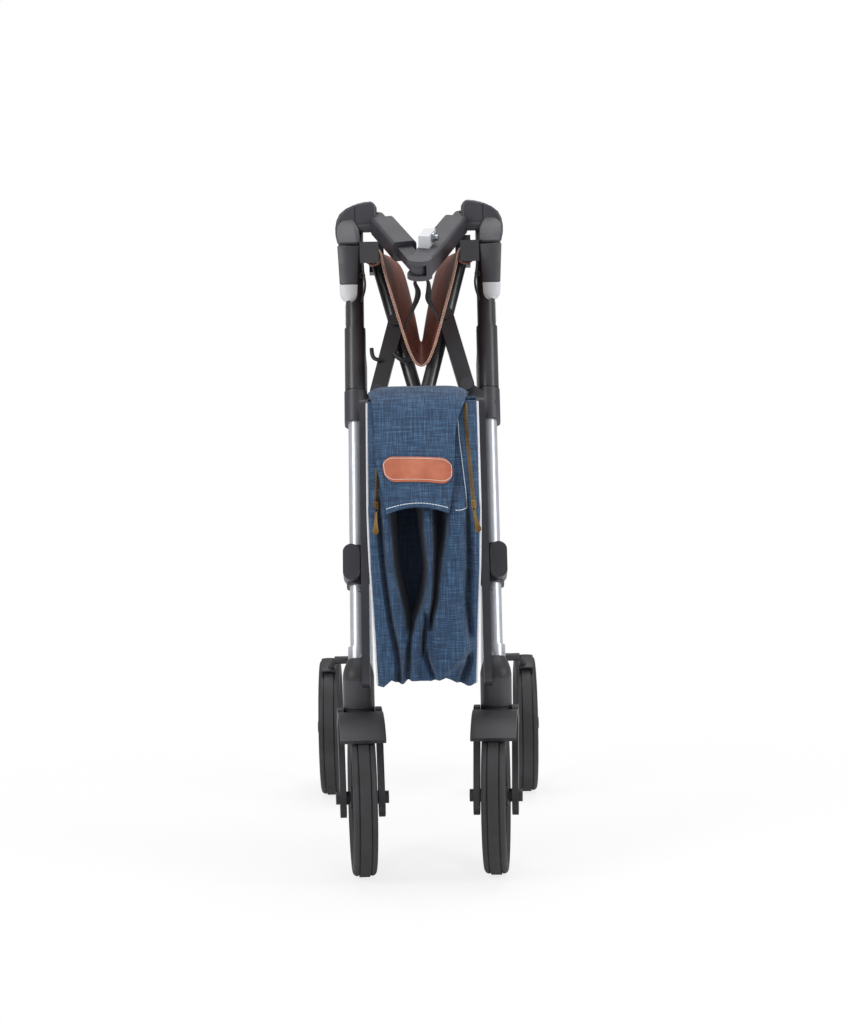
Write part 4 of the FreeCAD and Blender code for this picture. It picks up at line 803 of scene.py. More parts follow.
@dataclass
class Dresser:
    """Gives each CAD node that stays in view its finish, by the words in its name."""

    rules: tuple[tuple[str, Paint], ...] = (
        ("tyre", Paint.TYRE),
        ("rim", Paint.NYLON),
        ("front_leg", Paint.SILVER),
        ("rear_leg", Paint.SILVER),
        ("fork", Paint.NYLON),
        ("front_axle", Paint.NYLON),
        ("axle_carrier", Paint.NYLON),
        ("steering_head", Paint.SHELL),
        ("leg_clamp", Paint.SHELL),
        ("collar", Paint.SHELL),
        ("apex", Paint.SHELL),
        ("sleeve", Paint.POWDER),
        ("post", Paint.POWDER),
        ("brace", Paint.POWDER),
        ("link", Paint.POWDER),
        ("strut", Paint.POWDER),
        ("seat_rail", Paint.POWDER),
        ("board", Paint.SHELL),
        ("cable", Paint.NYLON),
        ("brake", Paint.NYLON),
        ("latch", Paint.ZINC),
        ("zip", Paint.BRASS),
        ("bar", Paint.SHELL),
        ("head", Paint.SHELL),
        ("grip", Paint.GRIP),
        ("sling", Paint.SEAT),
        ("strap", Paint.WEBBING),
        ("bag", Paint.DENIM),
    )

    def dress(self, nodes: Sequence[str]) -> None:
        """Put a finish on every node.

        Args:
            nodes: the CAD nodes' names.
        """
        for name in nodes:
            paint = next(paint for word, paint in self.rules if word in name)
            coat(bpy.data.objects[name], paint)
        log.info("dressed %d CAD nodes", len(nodes))


# Lines and stitches

def smooth_line(points: Sequence[Sequence[float]], share: float) -> tuple[float, ...]:
    """A point on the smooth line through a row of points.

    Args:
        points: the points, each with the same number of values.
        share: how far along the row, from 0 to 1.

    Returns:
        The point, with as many values as the given ones.
    """
    spot = min(max(share, 0.0), 1.0) * (len(points) - 1)
    at = min(int(spot), len(points) - 2)
    t = spot - at
    before, a, b = points[max(at - 1, 0)], points[at], points[at + 1]
    after = points[min(at + 2, len(points) - 1)]
    weights = (-t ** 3 + 2 * t ** 2 - t, 3 * t ** 3 - 5 * t ** 2 + 2,
               -3 * t ** 3 + 4 * t ** 2 + t, t ** 3 - t ** 2)
    return tuple(sum(w * v for w, v in zip(weights, row)) / 2 for row in zip(before, a, b, after))


def level(pairs: Sequence[tuple[float, float]], z: float) -> float:
    """The value at a height or another place, along straight lines between pairs.

    Args:
        pairs: (place, value) pairs, in the order of their rising places.
        z: the place.

    Returns:
        The value, which stays the same past the first and the last pair.
    """
    if z <= pairs[0][0]:
        return pairs[0][1]
    for (low, first), (high, last) in zip(pairs, pairs[1:]):
        if z <= high:
            return first + (last - first) * (z - low) / (high - low)
    return pairs[-1][1]


def ease(share: float) -> float:
    """A smooth step from 0 to 1."""
    t = min(max(share, 0.0), 1.0)
    return t * t * (3 - 2 * t)


def dashes(pairs: Iterable[tuple[Point, Point]], radius: float) -> bpy.types.Object:
    """Many short round bars as one mesh.

    Args:
        pairs: the two ends of each bar, in millimetres.
        radius: the bars' radius in millimetres.

    Returns:
        The bars as one object.
    """
    curve = new_curve(radius, 1)
    for pair in pairs:
        add_spline(curve, "POLY", pair)
    return curve_mesh(curve)


def seam(line: Callable[[float], Point], pitch: float = 3.6,
         stitch: float = 2.7) -> list[tuple[Point, Point]]:
    """The stitches along a line.

    Args:
        line: gives the point in millimetres for a share from 0 to 1.
        pitch: the way from one stitch to the next, in millimetres.
        stitch: a stitch's length in millimetres.

    Returns:
        The two ends of each stitch.
    """
    steps = 240
    points = [Vector(line(i / steps)) for i in range(steps + 1)]
    travel = [0.0]
    for a, b in zip(points, points[1:]):
        travel.append(travel[-1] + (b - a).length)

    def at(way: float) -> Vector:
        """The point that lies that far along the line."""
        i = next((k for k in range(1, len(travel)) if travel[k] >= way), len(travel) - 1)
        share = (way - travel[i - 1]) / max(travel[i] - travel[i - 1], 1e-9)
        return points[i - 1].lerp(points[i], min(share, 1.0))

    count = int(travel[-1] / pitch)
    return [(tuple(at(k * pitch)), tuple(at(k * pitch + stitch))) for k in range(count)]


# Bag

@dataclass
class Fold:
    """One fold or hollow down the bag's front.

    line holds (x, z, half width) from the top down. out is how far it stands out, and is
    negative for a hollow. edge is how wide its slope is, and fade how far it runs out past
    its ends.
    """

    line: tuple[tuple[float, float, float], ...]
    out: float
    edge: float = 6.0
    fade: float = 14.0

    def rise(self, x: float, z: float) -> float:
        """How far the fold moves the cloth out at a place.

        Args:
            x: the place across.
            z: the place's height.

        Returns:
            The way out in millimetres.
        """
        heights = [(height, i) for i, (_, height, _) in enumerate(self.line)]
        top, low = heights[0][0], heights[-1][0]
        if z > top + self.fade or z < low - self.fade:
            return 0.0
        row = level([(height, i) for height, i in reversed(heights)], z)
        middle, _, half = smooth_line(self.line, row / (len(self.line) - 1))
        ends = ease((top + self.fade - z) / self.fade) * ease((z - low + self.fade) / self.fade)
        return self.out * ends * ease((half + self.edge / 2 - abs(x - middle)) / self.edge)


@dataclass
class Bag:
    """The denim shopping bag that hangs, folded narrow, between the two side boards.

    front, back and half hold (height, value) pairs: where the front and the back cloth stand, and
    half of the bag's width. hem holds (x, height) pairs. Each small wave in weave has its height,
    and its length across and up. mouth_depth is how far behind the front lie the mouth's faces
    that take the denim darkened with painted shade.
    """

    top_z: float = 600.0
    front: tuple[tuple[float, float], ...] = (
        (255.0, -336.0), (290.0, -345.0), (330.0, -349.0), (400.0, -340.0), (470.0, -320.0),
        (530.0, -280.0), (606.0, -226.0))
    back: tuple[tuple[float, float], ...] = (
        (255.0, -262.0), (330.0, -232.0), (470.0, -174.0), (606.0, -118.0))
    half: tuple[tuple[float, float], ...] = (
        (255.0, 61.5), (313.0, 63.5), (373.0, 66.4), (410.0, 68.4), (462.0, 70.0), (606.0, 70.4))
    hem: tuple[tuple[float, float], ...] = (
        (-62.0, 254.0), (-54.0, 253.0), (-44.0, 262.0), (-32.0, 256.0), (-23.0, 261.0), (11.0, 261.0),
        (23.0, 265.0), (44.0, 254.0), (54.0, 253.0), (62.0, 256.0))
    hem_half: float = 62.0
    wall: float = 1.2
    corner_turn: float = 12.0
    weave: tuple[tuple[float, float, float], ...] = ((0.8, 9.0, 23.0), (0.6, -17.0, 14.0))
    back_share: float = 0.6
    back_wave: float = 3.0
    side_sag: float = 3.5
    floor_sag: float = 4.0
    mouth_depth: tuple[float, float] = (20.0, 75.0)
    mouth_low: float = 290.0
    mouth_margin: float = 6.0
    piping_top: float = 598.0
    piping_fall: float = 342.0
    piping_radius: float = 1.5
    piping_points: int = 15
    piping_inset: float = 0.4
    piping_lift: float = 1.6
    layer_lift: float = 1.0
    thread_radius: float = 0.45
    layer_edge: tuple[tuple[float, float], ...] = (
        (44.0, 583.0), (45.5, 555.0), (48.5, 525.0), (53.0, 476.0), (50.0, 470.0), (36.0, 469.0))
    folds: tuple[Fold, ...] = (
        # Hollow beside the left gusset.
        Fold(((-56, 476, 2), (-54, 446, 3), (-50, 398, 3), (-43, 338, 3), (-36, 300, 3), (-34, 262, 3)),
             -15),
        # The wide dark mouth below the flap.
        Fold(((-23, 486, 17), (-21, 446, 18), (-17, 398, 19), (-16, 368, 14), (-17, 348, 8), (-19, 332, 3)),
             -60, 13),
        # Hollow between the middle fold and the right fold.
        Fold(((18, 486, 8), (19, 446, 7), (15, 410, 4), (11, 360, 2), (6, 335, 1)), -42, 11),
        # Hollow beside the right gusset.
        Fold(((54, 470, 1), (54, 440, 3), (54, 398, 4), (52, 360, 4), (53, 330, 2)), -19, 9, 30),
        # Short pleat under the middle fold.
        Fold(((-1, 338, 2), (-3, 318, 2.5), (-4, 302, 1.5)), -18, 4),
        # Long pleat left of the middle fold.
        Fold(((-19, 322, 2), (-22, 300, 3), (-24, 262, 3)), -18, 5),
        # Hollow right of the pouch.
        Fold(((52, 286, 3), (47, 270, 4), (43, 256, 4)), -20, 7),
        # Hollow left of the pouch.
        Fold(((0, 292, 2), (6, 274, 3), (10, 262, 3)), -14, 6),
        # The standing folds: left, middle and right.
        Fold(((-47, 476, 4), (-44, 398, 5), (-37, 338, 5), (-29, 290, 5), (-28, 262, 5)), 5, 7),
        Fold(((2, 486, 5), (8, 410, 6), (4, 375, 6), (-3, 345, 6), (-13, 305, 5), (-17, 268, 5)), 6, 8),
        Fold(((40, 486, 8), (36, 420, 9), (32, 370, 10)), 6, 8),
        # The pouch that the cloth gathers into at the bottom right.
        Fold(((30, 352, 9), (30, 325, 18), (31, 306, 22), (24, 286, 19), (15, 266, 8)), 13, 16),
    )

    def front_y(self, x: float, z: float) -> float:
        """Where the front cloth stands at a place.

        Args:
            x: the place across.
            z: the place's height.

        Returns:
            The depth in millimetres, smaller being nearer to the camera.
        """
        corner = self.corner_turn * (abs(x) / level(self.half, z)) ** 10
        weave = sum(rise * math.sin(x / across + z / up) for rise, across, up in self.weave)
        moved = sum(fold.rise(x, z) for fold in self.folds)
        return level(self.front, z) + corner + weave - moved

    def low_z(self, x: float) -> float:
        """The hem's height, which the hanging folds scallop."""
        return level(self.hem, x)

    def front_place(self, a: float, b: float) -> Point:
        """A point of the front for its share across and up.

        Args:
            a: the share across, from 0 to 1.
            b: the share up, from 0 to 1.

        Returns:
            The point in millimetres.
        """
        z = self.low_z((2 * a - 1) * self.hem_half)
        z += (self.top_z - z) * b
        x = (2 * a - 1) * level(self.half, z)
        return (x, self.front_y(x, z), z)

    def round_place(self, a: float, b: float) -> Point:
        """A point of the left side, the back and the right side.

        Args:
            a: the share round the bag, from the front's left edge to its right edge.
            b: the share up, from 0 to 1.

        Returns:
            The point in millimetres.
        """
        side = 1 if a > 0.5 else -1
        low = self.low_z(side * self.hem_half)
        z = low + (self.top_z - low) * b
        half = level(self.half, z)
        front, back = self.front_y(side * half, z), level(self.back, z)
        way = abs(2 * a - 1)
        if way <= self.back_share:
            turn = way / self.back_share
            wave = self.back_wave * math.cos(4 * math.pi * a) * (1 - turn)
            return (side * half * turn, back + wave, z)
        share = (way - self.back_share) / (1 - self.back_share)
        sag = self.side_sag * math.sin(math.pi * share) * math.sin(math.pi * b)
        return (side * (half - sag), back + (front - back) * share, z)

    def floor_place(self, a: float, b: float) -> Point:
        """A point of the bottom for its share across and towards the back.

        Args:
            a: the share across, from 0 to 1.
            b: the share towards the back, from 0 to 1.

        Returns:
            The point in millimetres.
        """
        low = self.low_z((2 * a - 1) * self.hem_half)
        x = (2 * a - 1) * level(self.half, low)
        front, back = self.front_y(x, low), self.back[0][1]
        far = self.low_z((1 if a > 0.5 else -1) * self.hem_half)
        z = low + (far - low) * b + self.floor_sag * math.sin(math.pi * b)
        return (x, front + (back - front) * b, z)

    def build(self) -> None:
        """Build the bag's cloth, its piping and its stitched layer."""
        bag = join([cloth(150, 200, self.front_place), cloth(100, 60, self.round_place),
                    cloth(150, 14, self.floor_place)])
        thicken(bag, self.wall, -1.0)
        pick(bag)
        bpy.ops.object.shade_smooth()
        label(bag, "bag_denim", "denim", Paint.DENIM, Paint.LINING)
        # Faces deep in the bag's mouth take the darker denim: painted shade for the hollow.
        near, far = self.mouth_depth
        for face in bag.data.polygons:
            place = face.center / MM
            depth = place.y - level(self.front, place.z)
            inside = abs(place.x) < level(self.half, place.z) - self.mouth_margin and near < depth < far
            face.material_index = 1 if inside and place.z > self.mouth_low else 0
        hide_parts("bag_fabric")
        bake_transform(bag)
        self.piping()
        self.layer()

    def piping(self) -> None:
        """Sew a pale round piping down both front edges."""
        for side, body in ((Side.LEFT, "frame_left"), (Side.RIGHT, "bag_right")):
            line = []
            for i in range(self.piping_points):
                z = self.piping_top - self.piping_fall * i / (self.piping_points - 1)
                half = level(self.half, z)
                y = self.front_y(side.value * half, z) - self.piping_lift
                line.append((side.value * (half - self.piping_inset), y, z))
            edge = wire_mesh(line, self.piping_radius)
            finish_piece(edge, f"bag_piping_{side.word}", Paint.PIPING, body, "denim")

    def layer(self) -> None:
        """Sew the second layer that shows beside the flap, with its pale stitches."""
        def line(share: float) -> Point:
            """A point of the seam on the cloth."""
            x, z = smooth_line(self.layer_edge, share)
            return (x, self.front_y(x, z) - self.layer_lift, z + self.layer_lift)

        thread = dashes(seam(line), self.thread_radius)
        finish_piece(thread, "bag_layer_stitches", Paint.THREAD, "bag_right", "denim")


@dataclass
class Flap:
    """The bag's cover: it comes over the top and hangs before the mouth, with a bare leather patch.

    Each of rows holds the depth, the height, and the left and the right edge, from the back to
    the hem. The patch's places are shares of the flap's width and length.
    """

    rows: tuple[tuple[float, float, float, float], ...] = (
        (-122.0, 604.0, -66.0, 60.0), (-148.0, 612.0, -68.0, 58.5), (-176.0, 616.0, -69.0, 57.5),
        (-210.0, 613.0, -67.0, 56.0), (-243.0, 599.0, -62.5, 52.0), (-268.0, 570.0, -60.5, 42.0),
        (-291.0, 537.0, -59.4, 38.8), (-315.0, 502.0, -53.0, 36.6), (-335.0, 467.0, -46.0, 30.5))
    thickness: float = 2.4
    arch: float = 9.0
    bulge: float = 5.0
    ripple: float = 1.3
    edge_drop: float = 2.5
    corner_drop: float = 8.0
    hem_seam: float = 0.972
    hem_seam_span: tuple[float, float] = (0.02, 0.98)
    hem_thread: float = 0.55
    hem_thread_lift: float = 0.3
    patch_across: tuple[float, float] = (0.075, 0.975)
    patch_down: tuple[float, float] = (0.768, 0.878)
    patch_tilt: float = 0.006
    patch_end: float = 0.34
    patch_thickness: float = 1.6
    patch_lift: float = 0.5
    patch_dome: float = 0.7
    patch_seam: tuple[float, float] = (0.955, 0.84)
    patch_seam_stretch: float = 1.35
    patch_stitch: tuple[float, float] = (2.8, 2.1)
    patch_thread: float = 0.4
    patch_thread_lift: float = 0.15

    def place(self, a: float, b: float) -> Point:
        """A point of the flap.

        Args:
            a: the share across, from 0 to 1.
            b: the share from the back to the hem, from 0 to 1.

        Returns:
            The point in millimetres.
        """
        y, z, left, right = smooth_line(self.rows, b)
        crown = 1 - (2 * a - 1) ** 2
        ripple = self.ripple * math.sin(7.0 * a + 5.0 * b) * ease((b - 0.4) / 0.4)
        edge_drop = self.edge_drop * (1 - crown) ** 3
        corner = self.corner_drop * abs(2 * a - 1) ** 7 * (1 - ease((b - 0.35) / 0.25)) * ease(b / 0.12)
        return (left + (right - left) * a, y - self.bulge * crown * b + ripple + edge_drop,
                z + self.arch * crown * b ** 8 - corner)

    def over(self, a: float, b: float, lift: float) -> Point:
        """A point that stands off the flap's face.

        Args:
            a: the share across, from 0 to 1.
            b: the share from the back to the hem, from 0 to 1.
            lift: the way off the face, in millimetres.

        Returns:
            The point in millimetres.
        """
        here = Vector(self.place(a, b))
        across = Vector(self.place(a + 0.01, b)) - here
        down = Vector(self.place(a, b + 0.01)) - here
        out = across.cross(down)
        out = -out if out.y > 0 else out
        return tuple(here + out.normalized() * lift)

    def build(self) -> None:
        """Build the flap, its hem stitches, the patch and its border stitches."""
        flap = cloth(70, 120, self.place)
        thicken(flap, self.thickness)
        soften(flap, 0.5, 2, 60)
        finish_piece(flap, "bag_flap_denim", Paint.DENIM, "bag_middle", "denim")
        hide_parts("bag_flap")
        lift = self.thickness / 2 + self.hem_thread_lift
        first, last = self.hem_seam_span
        line = seam(lambda t: self.over(first + (last - first) * t, self.hem_seam, lift))
        hem = dashes(line, self.hem_thread)
        finish_piece(hem, "bag_flap_stitches", Paint.THREAD, "bag_middle", "denim")
        self.patch()

    def patch_point(self, p: float, q: float, lift: float) -> Point:
        """A point of the patch.

        Args:
            p: the place across, from -1 to 1.
            q: the place down, from -1 to 1.
            lift: the way off the flap's face, in millimetres.

        Returns:
            The point in millimetres.
        """
        past = max(abs(p) - (1 - self.patch_end), 0.0) / self.patch_end
        tall = math.sqrt(max(1 - past ** 2, 0.0))
        low, high = self.patch_across
        top, bottom = self.patch_down
        tilt = self.patch_tilt * p
        return self.over((low + high) / 2 + p * (high - low) / 2,
                         (top + bottom) / 2 + tilt + q * tall * (bottom - top) / 2, lift)

    def patch(self) -> None:
        """Sew on the bare leather patch."""
        base = self.thickness / 2 + self.patch_lift

        def place(a: float, b: float) -> Point:
            """A point of the slightly domed patch."""
            p, q = 2 * a - 1, 2 * b - 1
            swell = self.patch_dome * (1 - p ** 8) * (1 - q ** 6)
            return self.patch_point(p, q, base + swell)

        patch = cloth(80, 26, place)
        thicken(patch, self.patch_thickness)
        soften(patch, 0.0, angle=50.0)
        finish_piece(patch, "bag_patch_leather", Paint.PATCH, "bag_middle", "seat_leather")
        top = base + self.patch_dome + self.patch_thickness / 2 + self.patch_thread_lift
        inset_p, inset_q = self.patch_seam

        def border(t: float) -> Point:
            """A point of the seam inside the patch's edge, with round ends past its straight sides."""
            turn = 2 * math.pi * t
            wide = self.patch_seam_stretch * math.cos(turn)
            p = max(-1.0, min(1.0, wide))
            q = math.copysign(1.0, math.sin(turn))
            if abs(wide) > 1:
                q = math.sin(turn) / math.sin(math.acos(1 / self.patch_seam_stretch))
            return self.patch_point(inset_p * p, inset_q * q, top)

        thread = dashes(seam(border, *self.patch_stitch), self.patch_thread)
        finish_piece(thread, "bag_patch_stitches", Paint.TWINE, "bag_middle", "seat_leather")


@dataclass
class Zip:
    """One brass zip: two rows of teeth, a slider and a long pull.

    line holds the teeth's middle as (x, height). slider, bridge, ring and hang count from the
    zip's lower end. tag holds the pull's half widths along its length.
    """

    side: Side
    line: tuple[tuple[float, float], ...]
    pull_to: Point
    pitch: float = 2.6
    tooth: float = 2.5
    tooth_gap: float = 0.1
    tooth_rise: float = 0.4
    tooth_radius: float = 0.8
    tape_lift: float = 1.6
    slider: tuple[Point, Point] = ((-3.4, -3.0, -6.0), (3.4, 1.0, 4.0))
    bridge: tuple[Point, Point] = ((0.0, -3.4, -4.5), (0.0, -3.4, 2.5))
    bridge_radius: float = 1.3
    ring: tuple[Point, ...] = (
        (-1.7, -4.0, -4.5), (1.7, -4.0, -4.5), (2.0, -4.6, -9.0), (-2.0, -4.6, -9.0))
    ring_radius: float = 0.6
    hang: Point = (0.0, -4.8, -8.0)
    tag: tuple[tuple[float, float], ...] = (
        (0.0, 1.5), (0.1, 2.0), (0.35, 1.9), (0.6, 2.7), (0.82, 4.0), (0.94, 3.6), (1.0, 1.8))
    tag_thickness: float = 1.8

    def build(self, bag: Bag) -> None:
        """Build the zip on the bag's front.

        Args:
            bag: the bag whose front carries the zip.
        """
        def spine(share: float) -> Point:
            """A point along the middle of the teeth."""
            x, z = smooth_line(self.line, share)
            return (x, bag.front_y(x, z) - self.tape_lift, z)

        pairs = []
        for start, _ in seam(spine, self.pitch, 0.4):
            x, y, z = start
            low, crest = z - self.pitch / 2, y - self.tooth_rise
            pairs.append(((x - self.tooth, y, z), (x - self.tooth_gap, crest, z)))
            pairs.append(((x + self.tooth_gap, crest, low), (x + self.tooth, y, low)))
        body = "frame_left" if self.side is Side.LEFT else "bag_right"
        teeth = dashes(pairs, self.tooth_radius)
        finish_piece(teeth, f"zip_teeth_{self.side.word}", Paint.BRASS, body, "zip_brass")
        self.pull(spine(1.0))

    def pull(self, top: Point) -> None:
        """Build the slider and the pull that hangs from it.

        Args:
            top: the zip's lower end, where the slider stands.
        """
        def spots(*steps: Point) -> list[Point]:
            """The points that lie these steps from the zip's end."""
            return [tuple(a + b for a, b in zip(top, step)) for step in steps]

        slider = block(*spots(*self.slider))
        bridge = rod(*spots(*self.bridge), self.bridge_radius, 16)
        ring = wire_mesh(spots(*self.ring), self.ring_radius, cyclic=True)
        high, low = Vector(spots(self.hang)[0]), Vector(self.pull_to)
        side = Vector((0, -1, 0)).cross((low - high).normalized()).normalized()
        shape = [tuple(high + (low - high) * a + side * w) for a, w in self.tag]
        shape += [tuple(high + (low - high) * a - side * w) for a, w in reversed(self.tag)]
        tag = prism(shape, (0, -self.tag_thickness, 0))
        apply_modifier(tag, "SUBSURF", levels=1, render_levels=1, subdivision_type="SIMPLE")
        soften(tag, 0.6, 3, 40)
        soften(slider, 0.9, 3, 40)
        whole = join([tag, slider, bridge, ring])
        body = f"zip_{self.side.word}"
        finish_piece(whole, f"zip_pull_{self.side.word}", Paint.BRASS, body, "zip_brass")
        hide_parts(f"{self.side.word}_zip_pull")


# Seat

@dataclass
class Sling:
    """One half of the leather seat: it hangs from its rail down to the middle.

    web and rear_web hold the cross-section's (x, height) at the seat's front and rear edge. The
    hem goes round the rail by hem_degrees, its first angle, its end and its step. seam_start and
    edge_start are shares along the cross-section.
    """

    side: Side
    front_y: float = -135.0
    rear_y: float = 60.0
    wrap_rear_y: float = -34.0
    rail_x: float = 60.6
    rail_z: float = 784.0
    rail_radius: float = 9.0
    gap: float = 1.1
    thickness: float = 1.8
    web: tuple[tuple[float, float], ...] = (
        (50.8, 788.5), (47.8, 774.0), (44.0, 758.0), (36.5, 731.0), (27.5, 700.0), (17.5, 667.0),
        (9.5, 648.5), (4.0, 642.5), (0.0, 641.2))
    rear_web: tuple[tuple[float, float], ...] = (
        (50.8, 788.5), (43.5, 785.5), (34.0, 780.0), (24.5, 767.0), (17.5, 745.0), (10.5, 714.0),
        (5.5, 688.0), (2.5, 671.0), (0.0, 667.0))
    wave: float = 1.4
    wave_length: float = 33.0
    swell: float = 2.0
    swell_length: float = 58.0
    halves_gap: float = 4.0
    hem_degrees: tuple[int, int, int] = (215, 491, 15)
    seam_insets: tuple[float, float] = (3.0, 8.0)
    seam_start: float = 0.55
    seam_tilt: tuple[float, float] = (0.94, 0.33)
    thread_radius: float = 0.42
    thread_lift: float = 0.25
    edge_start: float = 0.5
    edge_steps: int = 24
    edge_out: float = 0.3
    edge_radius: float = 1.1

    def line(self, wrapped: bool, back: float) -> list[tuple[float, float]]:
        """The cross-section from the hem round the rail down to the middle, as (x, z).

        Args:
            wrapped: whether the hem goes round the rail.
            back: 0 at the seat's front edge and 1 at its rear edge, where it hangs narrower.

        Returns:
            The section's points.
        """
        around = self.rail_radius + self.gap + self.thickness / 2
        turn = []
        for degrees in range(*self.hem_degrees) if wrapped else ():
            a = math.radians(degrees)
            turn.append((self.rail_x + around * math.cos(a), self.rail_z + around * math.sin(a)))
        for front, rear in zip(self.web, self.rear_web):
            turn.append(tuple(f + (r - f) * back for f, r in zip(front, rear)))
        return turn

    def place(self, wrapped: bool, front: float, rear: float) -> Callable[[float, float], Point]:
        """The function that places the cloth between two depths.

        Args:
            wrapped: whether the hem goes round the rail.
            front: the depth of the cloth's front edge.
            rear: the depth of the cloth's rear edge.

        Returns:
            The function, for shares along the section and from front to rear.
        """
        def spot(a: float, b: float) -> Point:
            """A point for its share along the section and from front to rear."""
            y = front + (rear - front) * b
            back = ease((y - self.front_y) / (self.rear_y - self.front_y))
            x, z = smooth_line(self.line(wrapped, back), a)
            low = ease((a - 0.6) / 0.4) if wrapped else ease((a - 0.3) / 0.7)
            wave = self.wave * math.sin(y / self.wave_length + self.side.value) * low
            swell = self.swell * low * math.sin(y / self.swell_length)
            return (self.side.value * (x + wave * (1 - a)), y, z + swell * (1 - a))

        return spot

    def build(self) -> None:
        """Build the half, its rows of stitches and its pale edge bead."""
        front = cloth(90, 36, self.place(True, self.front_y, self.wrap_rear_y))
        rear = cloth(60, 36, self.place(False, self.wrap_rear_y - self.halves_gap, self.rear_y))
        sling = join([front, rear])
        thicken(sling, self.thickness)
        soften(sling, 0.4, 2, 60)
        pieces = [(sling, f"seat_sling_leather_{self.side.word}", Paint.SEAT)]
        for inset in self.seam_insets:
            name = f"seat_stitches_{inset:.0f}_{self.side.word}"
            pieces.append((self.stitches(inset), name, Paint.TWINE))
        edge = self.place(True, self.front_y - self.edge_out, self.wrap_rear_y)
        shares = [self.edge_start + (1 - self.edge_start) * i / self.edge_steps
                  for i in range(self.edge_steps + 1)]
        bead = wire_mesh([edge(share, 0.0) for share in shares], self.edge_radius)
        pieces.append((bead, f"seat_edge_{self.side.word}", Paint.CUT_EDGE))
        for piece, name, paint in pieces:
            label(piece, name, "seat_leather", paint)
            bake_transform(piece)
        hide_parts(f"seat_sling_{self.side.word}")

    def stitches(self, inset: float) -> bpy.types.Object:
        """One row of stitches near the front edge, on both faces.

        Args:
            inset: the way from the front edge to the row, in millimetres.

        Returns:
            The stitches as one object.
        """
        place = self.place(True, self.front_y + inset, self.wrap_rear_y)
        across, up = self.seam_tilt
        run = 1 - self.seam_start
        pairs = []
        for off in (-1, 1):
            lift = off * (self.thickness / 2 + self.thread_lift)
            step = Vector((self.side.value * -lift * across, 0, lift * up))
            pairs += seam(lambda t, step=step: tuple(Vector(place(self.seam_start + run * t, 0.0)) + step))
        return dashes(pairs, self.thread_radius)


@dataclass
class PullStrap:
    """The webbing strap that stands over the seat's middle, for folding the walker with one hand.

    line holds the loop's (x, height). The strap turns about its own run by twist_deg, a steady
    part and a part that grows and goes twice along the loop.
    """

    y: float = -112.0
    width: float = 20.0
    thickness: float = 1.5
    line: tuple[tuple[float, float], ...] = (
        (-21.0, 686.0), (-17.0, 700.0), (-10.5, 714.0), (-4.0, 729.0), (-3.0, 739.0), (-6.5, 749.0),
        (-3.0, 755.0), (4.0, 756.0), (10.5, 750.0), (11.0, 738.0), (10.3, 728.0), (14.5, 718.0),
        (21.5, 706.0), (25.0, 694.0))
    twist_deg: tuple[float, float] = (2.0, 17.0)

    def build(self) -> None:
        """Build the strap, which rides on the seat's left half."""
        steady, extra = self.twist_deg

        def place(a: float, b: float) -> Point:
            """A point of the strap for its share along and across."""
            x, z = smooth_line(self.line, a)
            turn = math.radians(steady + extra * math.sin(2 * math.pi * a) ** 2) * (1 if a < 0.5 else -1)
            across = (b - 0.5) * self.width
            return (x + across * math.sin(turn), self.y + across * math.cos(turn), z)

        strap = cloth(110, 8, place)
        thicken(strap, self.thickness)
        soften(strap, 0.3, 2, 60)
        finish_piece(strap, "seat_pull_strap", Paint.WEBBING, "seat_left", "webbing")
        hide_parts("pull_strap")
        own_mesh(strap)


# Handles

